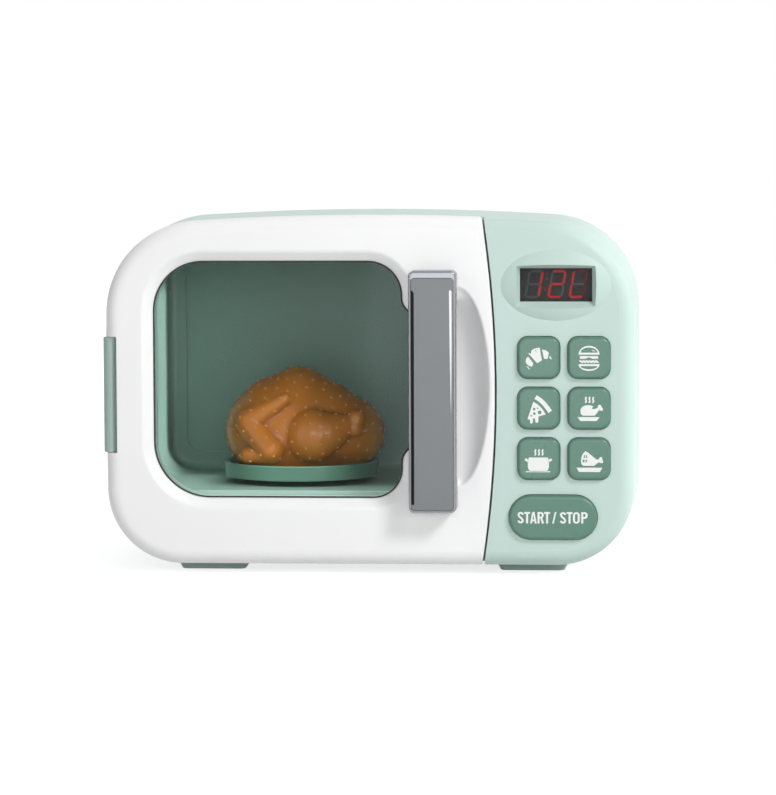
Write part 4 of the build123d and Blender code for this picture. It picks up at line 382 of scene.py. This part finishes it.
def flat_sign(name, shapes, material, centre, face, thick=PRINT):
    """Thin raised print on a front face: shapes in millimetres, each an outline and its holes."""
    made = []
    for outline, *holes in shapes:
        curve = bpy.data.curves.new(name, "CURVE")
        curve.dimensions = "2D"
        curve.fill_mode = "BOTH"
        curve.extrude = thick / 2
        for points in (outline, *holes):
            spline = curve.splines.new("POLY")
            spline.points.add(len(points) - 1)
            for point, (x, z) in zip(spline.points, points):
                point.co = (x / 1000, z / 1000, 0, 1)
            spline.use_cyclic_u = True
        shape = bpy.data.objects.new(name, curve)
        bpy.context.collection.objects.link(shape)
        made.append(shape)
    bpy.ops.object.select_all(action="DESELECT")
    for shape in made:
        shape.select_set(True)
    bpy.context.view_layer.objects.active = made[0]
    bpy.ops.object.convert(target="MESH")
    if len(made) > 1:
        bpy.ops.object.join()
    sign = bpy.context.object
    sign.name = name
    stand = Matrix.Translation((centre[0], face, centre[1])) @ Matrix.Rotation(pi / 2, 4, "X")
    sign.data.transform(stand)
    sign.data.materials.clear()
    sign.data.materials.append(material)
    sign.select_set(False)
    return sign


def button_print(name, shapes, node):
    """Print in the middle of a button's front."""
    low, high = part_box(node)
    centre = ((low.x + high.x) / 2, (low.z + high.z) / 2)
    return flat_sign(name, shapes, print_white, centre, low.y)


croissant = [
    [[(-5.9, -4.1), (-5.3, -4.1), (-4.3, -5.3), (-4.5, -5.8)]],
    [[
        (-5.0, 0.6), (-2.5, -2.8), (-3.2, -4.3), (-4.4, -4.0), (-5.8, -3.0), (-6.3, -1.8),
        (-6.0, -0.3),
    ]],
    [
        [
            (-5.1, 2.4), (-4.5, 2.3), (-3.7, 1.9), (-3.6, 3.5), (-1.8, 4.6), (0.5, 5.0),
            (1.6, -1.2), (-0.7, -2.6),
        ],
        dot(-1.4, 3.6, 0.28),
        dot(-0.5, 3.9, 0.20),
        dot(-0.8, 2.9, 0.22),
    ],
    [[(1.7, 4.1), (3.6, 3.7), (5.0, 2.5), (4.3, -0.5), (2.6, -0.4)]],
    [[(5.4, 1.3), (6.4, -0.5), (6.1, -0.8), (5.2, -0.1)]],
]

lettuce = [(x / 4 - 4.4, -1.8 + 0.42 * sin(x * 1.05)) for x in range(37)]
burger = [
    [arc(0.1, 1.6, 5.1, 4.3, 0, 180), arc(0.1, 2.55, 4.1, 2.5, 0, 180)],
    [[(1.6, 4.0), (3.0, 3.3), (2.9, 3.0), (1.5, 3.6)]],
    [[
        (-4.3, 0.9), (4.5, 0.9), (4.5, -0.4), (1.9, -0.4), (0.1, 0.35), (-1.7, -0.4),
        (-4.3, -0.4),
    ]],
    [stroke(lettuce, 0.8)],
    [arc(0.1, -3.0, 5.1, 3.3, 180, 360), arc(0.1, -3.95, 4.1, 1.5, 180, 360)],
]

toppings = (
    (-2.2, -0.3, 0.65), (-0.4, 0.1, 0.35), (0.5, -1.9, 0.9), (-2.1, -2.5, 0.65), (-3.6, -3.5, 0.4),
)
slice_edge = [(-2.6, 3.3), (-0.8, 2.3), (1.1, 0.6), (2.5, -1.2), (3.4, -2.9)]
drips = [(0.0, -3.8), (-0.2, -6.6), (-0.9, -7.0), (-1.6, -6.7), (-1.8, -4.7), (-2.7, -4.9)]
drips += [(-2.9, -7.0), (-3.5, -7.4), (-4.1, -7.0), (-4.2, -5.5), (-5.4, -5.2)]
pizza = [
    [stroke([(-1.5, 5.6), (0.6, 4.3), (2.7, 2.3), (4.4, 0.2), (5.6, -1.6)], 2.1)],
    [slice_edge + drips] + [dot(*topping) for topping in toppings],
]

bird = arc(-0.3, -0.9, 3.8, 2.6, 185, 50) + [(1.4, 0.0), (2.6, -0.2), (3.8, 0.2), (4.3, 0.6)]
bird += arc(5.2, 1.1, 0.85, 0.85, 190, 0, 8) + arc(6.1, -0.3, 0.8, 0.8, 60, -150, 8)
bird += [(4.8, -0.8), (4.1, -2.0), (2.8, -3.4), (-3.0, -3.4), (-3.9, -2.5)]
roast_dish = [(-5.5, -4.1), (5.2, -4.1), (3.8, -6.0), (-4.1, -6.0)]
roast_sign = [[roast_dish], [bird]] + steam(0.0, 2.8, 5.7)

pot = [(-4.8, 0.8), (4.5, 0.8), (4.9, -1.0), (5.0, -3.8), (4.5, -5.3), (3.4, -6.1)]
pot += [(-3.7, -6.1), (-4.8, -5.3), (-5.3, -3.8), (-5.2, -1.0)]
soup = [
    [pot],
    [stroke([(-6.6, 0.0), (-5.1, -1.0)], 1.2)],
    [stroke([(6.3, 0.0), (4.8, -1.0)], 1.2)],
    [stroke([(-6.3, -6.15), (5.6, -6.15)], 0.5)],
] + steam(-0.2, 1.8, 4.7)

ham_meat = [(-3.8, -0.9), (-3.6, 1.0), (-2.9, 2.7), (-1.6, 4.0), (-0.2, 3.1), (3.8, -0.2)]
ham_meat += [(4.9, 0.1)] + arc(5.8, 0.4, 0.75, 0.75, 170, -20, 8)
ham_meat += arc(6.2, -1.2, 0.75, 0.75, 50, -150, 8)
ham_meat += [(4.4, -1.7), (2.6, -3.2), (-2.7, -3.2), (-3.6, -2.4)]
ham_cuts = [
    [(-2.6, 0.5), (-2.2, 2.0), (-1.7, 2.3), (-1.9, 0.6)],
    [(-1.4, 0.6), (-1.2, 2.3), (-0.8, 1.7), (-0.8, 0.6)],
    [(-3.0, -0.3), (-2.0, -0.2), (-2.2, -1.6), (-2.9, -1.4)],
    [(-1.5, -0.2), (-0.8, -0.2), (-1.0, -1.4), (-1.7, -1.7)],
]
ham_dish = [(-6.0, -4.1), (6.5, -4.1), (5.4, -6.2), (-4.8, -6.2)]
ham = [[ham_dish], [ham_meat] + ham_cuts]

signs = {
    "croissant": croissant,
    "burger": burger,
    "pizza": pizza,
    "roast": roast_sign,
    "soup": soup,
    "ham": ham,
}
for name, shapes in signs.items():
    sign = button_print("sign_" + name, shapes, "button_" + name)
    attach(sign, "key_" + name)

upper_hook = arc(1.5, 1.42, 1.03, 0.93, 0, 190) + [(0.85, 0.55)]
lower_hook = [(2.15, -0.55)] + arc(1.5, -1.42, 1.03, 0.93, 10, -180)
letter_s = [stroke(upper_hook + lower_hook, 0.92)]
letter_t = [[
    (0, 2.8), (2.9, 2.8), (2.9, 1.9), (1.95, 1.9), (1.95, -2.8), (0.95, -2.8), (0.95, 1.9),
    (0, 1.9),
]]
letter_a = [
    [
        (0, -2.8), (1.05, 2.8), (2.15, 2.8), (3.2, -2.8), (2.25, -2.8), (2.08, -1.7),
        (1.12, -1.7), (0.95, -2.8),
    ],
    [(1.25, -0.85), (1.95, -0.85), (1.6, 1.45)],
]
bowl = [(1.0, 1.95), (1.6, 1.95), (2.0, 1.75), (2.08, 1.25), (2.0, 0.75), (1.6, 0.5), (1.0, 0.5)]
r_leg = [(2.35, -0.1), (3.15, -2.8), (2.1, -2.8), (1.5, -0.35), (1.0, -0.35), (1.0, -2.8)]
letter_r = [
    [(0, -2.8), (0, 2.8), (1.7, 2.8)] + arc(1.7, 1.3, 1.35, 1.45, 80, -50) + r_leg,
    bowl,
]
letter_o = [
    arc(1.65, 1.2, 1.65, 1.6, 0, 180) + arc(1.65, -1.2, 1.65, 1.6, 180, 360),
    arc(1.65, 1.3, 0.65, 0.65, 0, 180) + arc(1.65, -1.3, 0.65, 0.65, 180, 360),
]
p_foot = [(1.0, -0.4), (1.0, -2.8)]
letter_p = [
    [(0, -2.8), (0, 2.8), (1.8, 2.8)] + arc(1.8, 1.2, 1.35, 1.6, 85, -85) + p_foot,
    bowl,
]
slash = [[(0, -2.8), (1.3, 2.8), (2.1, 2.8), (0.8, -2.8)]]
start_stop = (
    (letter_s, -17.2), (letter_t, -14.0), (letter_a, -11.1), (letter_r, -7.5), (letter_t, -4.3),
    (slash, -0.4), (letter_s, 3.4), (letter_t, 6.6), (letter_o, 9.7), (letter_p, 13.7),
)
lettering = []
for letter, start in start_stop:
    lettering.append([[(x + start, z) for x, z in line] for line in letter])
words = button_print("sign_start_stop", lettering, "start_button")
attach(words, "start_stop")

# ---- Painted reflections on the handle ----
# The grey facing of the handle carries a painted dark reflection down its left edge and a
# painted highlight at the upper right that runs out in a point, both pressed flat into its surface.
PAINTED_LINE_THICK = 0.00006
# Near-black for the painted dark reflection, near-white for the painted highlight.
painted_reflection_dark = moulded("painted_reflection_dark", (6, 6, 8), 0.6, ripple=0.03, Specular_IOR_Level=0.15)
painted_highlight_bright = moulded("painted_highlight_bright", (246, 248, 250), 0.30, ripple=0.03)
facing_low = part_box("handle_facing")[0]
corner = (facing_low.x, facing_low.z)
dark_reflection_line = [(0.2, 2.9), (1.6, 2.9), (1.7, 105.2), (1.2, 106.3), (0.2, 107.0)]
highlight_line = [
    (19.3, 107.0), (18.7, 106.6), (18.9, 80.0), (19.5, 46.0), (19.9, 80.0), (19.9, 106.3),
]
for name, line, reflection_paint in (("dark", dark_reflection_line, painted_reflection_dark), ("bright", highlight_line, painted_highlight_bright)):
    reflection_sheet = flat_sign("handle_painted_reflection_" + name, [[line]], reflection_paint, corner, facing_low.y, PAINTED_LINE_THICK)
    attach(reflection_sheet, "door")

# ---- Display ----
# A dark tinted lens lies at the bottom of the well in the oval dome. Behind it a display block
# shows slanted seven-segment digits, some lit red and the rest faintly visible.
lens = glazed("lens_plastic", (30, 31, 31), 0.06, 0.018, (0.80, 0.80, 0.80))
dress(lens, "display_lens")
module_black = moulded("module_face", (64, 66, 66), 0.5)
dress(module_black, "display_module")


def glowing(name, colour, strength):
    """Plastic that glows in its own colour."""
    glow = {"Emission_Color": (*linear(colour), 1), "Emission_Strength": strength}
    return Finish(name, colour, 0.5, **glow).material


bar_paints = {
    "lit": glowing("segment_lit", (205, 50, 46), 0.45),
    "dim": moulded("segment_dim", (100, 100, 102), 0.5),
    "fading": glowing("segment_fading", (120, 34, 38), 0.35),
}
DIGIT_WIDE, DIGIT_TALL, DIGIT_MIDDLE, SLANT = 6.3, 12.4, 142.2, 0.17
SEGMENT, SEGMENT_GAP, DECIMAL_DOT = 1.1, 0.16, 0.35
BAR_THICKNESS, BAR_LIFT = 0.00005, 0.00004
segment_ends = {
    "a": ((-1, 1), (1, 1)),
    "b": ((1, 1), (1, 0)),
    "c": ((1, 0), (1, -1)),
    "d": ((-1, -1), (1, -1)),
    "e": ((-1, 0), (-1, -1)),
    "f": ((-1, 1), (-1, 0)),
    "g": ((-1, 0), (1, 0)),
}


def segment(letter, x, z):
    """Outline of one bar of a digit, pointed at both ends and slanted."""
    (x0, z0), (x1, z1) = segment_ends[letter]
    x0, x1 = x0 * DIGIT_WIDE / 2, x1 * DIGIT_WIDE / 2
    z0, z1 = z0 * DIGIT_TALL / 2, z1 * DIGIT_TALL / 2
    long = ((x1 - x0) ** 2 + (z1 - z0) ** 2) ** 0.5
    ax, az = (x1 - x0) / long, (z1 - z0) / long
    half, gap = SEGMENT / 2, SEGMENT_GAP
    marks = ((gap, 0), (gap + half, half), (long - gap - half, half))
    marks += ((long - gap, 0), (long - gap - half, -half), (gap + half, -half))
    points = []
    for along, side in marks:
        px, pz = x0 + ax * along - az * side, z0 + az * along + ax * side
        points.append((x + px + SLANT * pz, z + pz))
    return points


digits = (
    (80.7, {"lit": "bc", "dim": "adefg"}),
    (91.8, {"lit": "abged", "dim": "cf"}),
    (102.1, {"lit": "fed", "fading": "abc", "dim": "g"}),
)
bars = {"lit": [], "dim": [], "fading": []}
for x, states in digits:
    for state, letters in states.items():
        bars[state] += [[segment(letter, x, DIGIT_MIDDLE)] for letter in letters]
for x, rise in ((86.9, 2.6), (86.1, -2.6)):
    bars["lit"].append([dot(x, DIGIT_MIDDLE + rise, DECIMAL_DOT)])
bar_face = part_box("display_module")[0].y - BAR_LIFT
for state, shapes in bars.items():
    bar = flat_sign("display_" + state, shapes, bar_paints[state], (0, 0), bar_face, BAR_THICKNESS)
    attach(bar, "casing")

# ---- Chicken ----
# A roast chicken moulded in brown PVC, lying on its back: plump breast, tucked drumsticks, folded
# wings and a satin gloss. It lies loose on the plate.
TRUNK_VOXEL, TRUNK_ROUNDS = 0.0014, 60
SKIN_VOXEL, SKIN_ROUNDS = 0.0008, 6
LIMB_STEPS = 17
chicken_low, chicken_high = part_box("roast_chicken")
bird_x = (chicken_low.x + chicken_high.x) / 2
bird_y = (chicken_low.y + chicken_high.y) / 2
bird_z = chicken_low.z


def lump(x, y, z, across, deep, high, turn=0.0):
    """One swelling of the bird, in millimetres from the middle of its flat base."""
    place = (bird_x + x / 1000, bird_y + y / 1000, bird_z + z / 1000)
    bpy.ops.mesh.primitive_uv_sphere_add(segments=40, ring_count=24, radius=1, location=place)
    made = bpy.context.object
    made.scale = (across / 1000, deep / 1000, high / 1000)
    made.rotation_euler = (0, radians(turn), 0)
    bpy.ops.object.transform_apply(location=True, rotation=True, scale=True)
    made.select_set(False)
    return made


def limb(start, end, thick, thin):
    """Row of swellings from one point to another that change evenly in size."""
    made = []
    for i in range(LIMB_STEPS):
        share = i / (LIMB_STEPS - 1)
        x, y, z = (a + (b - a) * share for a, b in zip(start, end))
        size = thick + (thin - thick) * share
        made.append(lump(x, y, z, size, size, size))
    return made


def fuse(pieces, name, voxel, rounds):
    """Joins swellings into one closed skin and softens it."""
    bpy.ops.object.select_all(action="DESELECT")
    for piece in pieces:
        piece.select_set(True)
    bpy.context.view_layer.objects.active = pieces[0]
    bpy.ops.object.join()
    skin = bpy.context.object
    skin.name = name
    remesh = skin.modifiers.new("one_skin", "REMESH")
    remesh.mode = "VOXEL"
    remesh.voxel_size = voxel
    bpy.ops.object.modifier_apply(modifier="one_skin")
    smooth = skin.modifiers.new("soften", "SMOOTH")
    smooth.factor = 0.5
    smooth.iterations = rounds
    bpy.ops.object.modifier_apply(modifier="soften")
    skin.select_set(False)
    return skin


trunk = [
    lump(-9, 0, 16.5, 32, 28.5, 27.5),
    lump(-3, 0, 27, 19, 21, 22.5),
    lump(-14, 0, 24, 20, 22, 20.5, -28),
    lump(9, 0, 24, 18, 20, 18.5, 36),
    lump(20, 0, 15.5, 21, 22.5, 19.0, 12),
]
body = fuse(trunk, "chicken_body", TRUNK_VOXEL, TRUNK_ROUNDS)
parts = [body]
for side in (-1, 1):
    parts.append(lump(5.8, side * 22.0, 15.6, 13.8, 12.4, 13.4))
    parts += limb((12, side * 22.0, 17.0), (24, side * 21.5, 21.4), 10.4, 4.8)
    parts.append(lump(28.2, side * 21.5, 24.6, 4.4, 4.4, 4.2))
    parts.append(lump(27.4, side * 22.0, 19.4, 4.4, 4.4, 4.2))
    parts += limb((-7.8, side * 26.0, 34.3), (-27.0, side * 23.5, 22.5), 3.1, 6.0)
    parts += limb((-26.2, side * 24.5, 21.0), (-15.0, side * 28.5, 9.0), 5.8, 6.4)
    parts += limb((-15.0, side * 27.5, 7.0), (-26.5, side * 26.0, 6.0), 5.6, 4.2)
bird_skin = fuse(parts, "chicken_skin", SKIN_VOXEL, SKIN_ROUNDS)
bird_skin.select_set(True)
bpy.context.view_layer.objects.active = bird_skin
bpy.ops.object.mode_set(mode="EDIT")
bpy.ops.mesh.select_all(action="SELECT")
bpy.ops.mesh.bisect(
    plane_co=(0, 0, bird_z), plane_no=(0, 0, -1), clear_outer=True, use_fill=True
)
bpy.ops.object.mode_set(mode="OBJECT")
bpy.ops.object.shade_smooth()
bird_skin.select_set(False)

roast = Finish("roast_plastic", (186, 106, 22), 0.22, Specular_IOR_Level=0.4)
patches = roast.noise(38.0, 3.0)
# Painted shade: the skin turns dark brown where it folds sharply inward, in its creases.
folds = roast.node("NewGeometry", "Pointiness")
crease_shade_mask = roast.node("MapRange", Value=folds, From_Min=0.44, From_Max=0.50)
browned = roast.tint(patches, (190, 104, 18), (218, 130, 32))
roast.vary("Base Color", roast.tint(crease_shade_mask, (110, 52, 12), browned))
roast.vary("Roughness", 0.20 + patches * 0.08)
roast.bump(roast.noise(420.0, 3.0), 0.10, 0.0004)
bird_skin.data.materials.clear()
bird_skin.data.materials.append(roast.material)
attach(bird_skin, "chicken")
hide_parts("roast_chicken")

# ---- Pores of the chicken ----
# The skin of the moulded chicken is dotted with small raised pores, a few millimetres apart, that
# were drilled as pits in the two halves of its mould. None stands close to the flat base.
PORE, PORE_SPACING, PORE_LOWEST = 0.00066, 0.0052, 0.003
PORE_TRIES, PORE_STRIDE = 6000, 7919
skin_points = bird_skin.data.vertices
places = []
for i in range(PORE_TRIES):
    point = skin_points[i * PORE_STRIDE % len(skin_points)].co
    clear_of_base = point.z > bird_z + PORE_LOWEST
    if clear_of_base and all((point - other).length > PORE_SPACING for other in places):
        places.append(point.copy())
bpy.ops.mesh.primitive_uv_sphere_add(segments=8, ring_count=6, radius=PORE)
pore = bpy.context.object
bpy.ops.object.shade_smooth()
pore.select_set(False)
copies = []
for place in places:
    copy = pore.copy()
    copy.data = pore.data.copy()
    copy.data.transform(Matrix.Translation(place))
    bpy.context.collection.objects.link(copy)
    copy.select_set(True)
    copies.append(copy)
bpy.data.objects.remove(pore)
bpy.context.view_layer.objects.active = copies[0]
bpy.ops.object.join()
pores = bpy.context.object
pores.name = "chicken_pores"
pores.select_set(False)
# The pores are coloured lighter than the skin as a painted highlight on their tips.
pores.data.materials.append(moulded("pore_painted_highlight", (230, 156, 70), 0.28))
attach(pores, "chicken")

# ---- Hardware and works ----
# Zinc-plated screws, steel pins, acetal gears with a brass pinion on the motor, a rubber keypad on
# a lacquered board, and cells in their sleeves. From outside only screw heads, the switch and the
# speaker behind its grille show.
steel = moulded("zinc_steel", (170, 172, 172), 0.35, Metallic=1.0)
acetal = moulded("gear_acetal", (232, 230, 222), 0.4)
black = moulded("black_plastic", (30, 31, 33), 0.45)
dress(steel, *[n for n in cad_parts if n.endswith(("screws", "screw", "pins", "pin"))])
dress(steel, "battery_contacts", "drive_motor")
dress(acetal, "gearbox_base", "gearbox_cover", "reduction_gear", "output_gear")
dress(black, "speaker", "power_switch_body", "power_switch_slider")
dress(moulded("pinion_brass", (200, 165, 90), 0.3, Metallic=1.0), "motor_pinion")
dress(moulded("board_lacquer", (30, 92, 52), 0.35), "control_board")
dress(moulded("keypad_rubber", (170, 176, 174), 0.6), "keypad_membrane")
dress(moulded("cell_sleeve", (70, 76, 84), 0.35), "batteries")
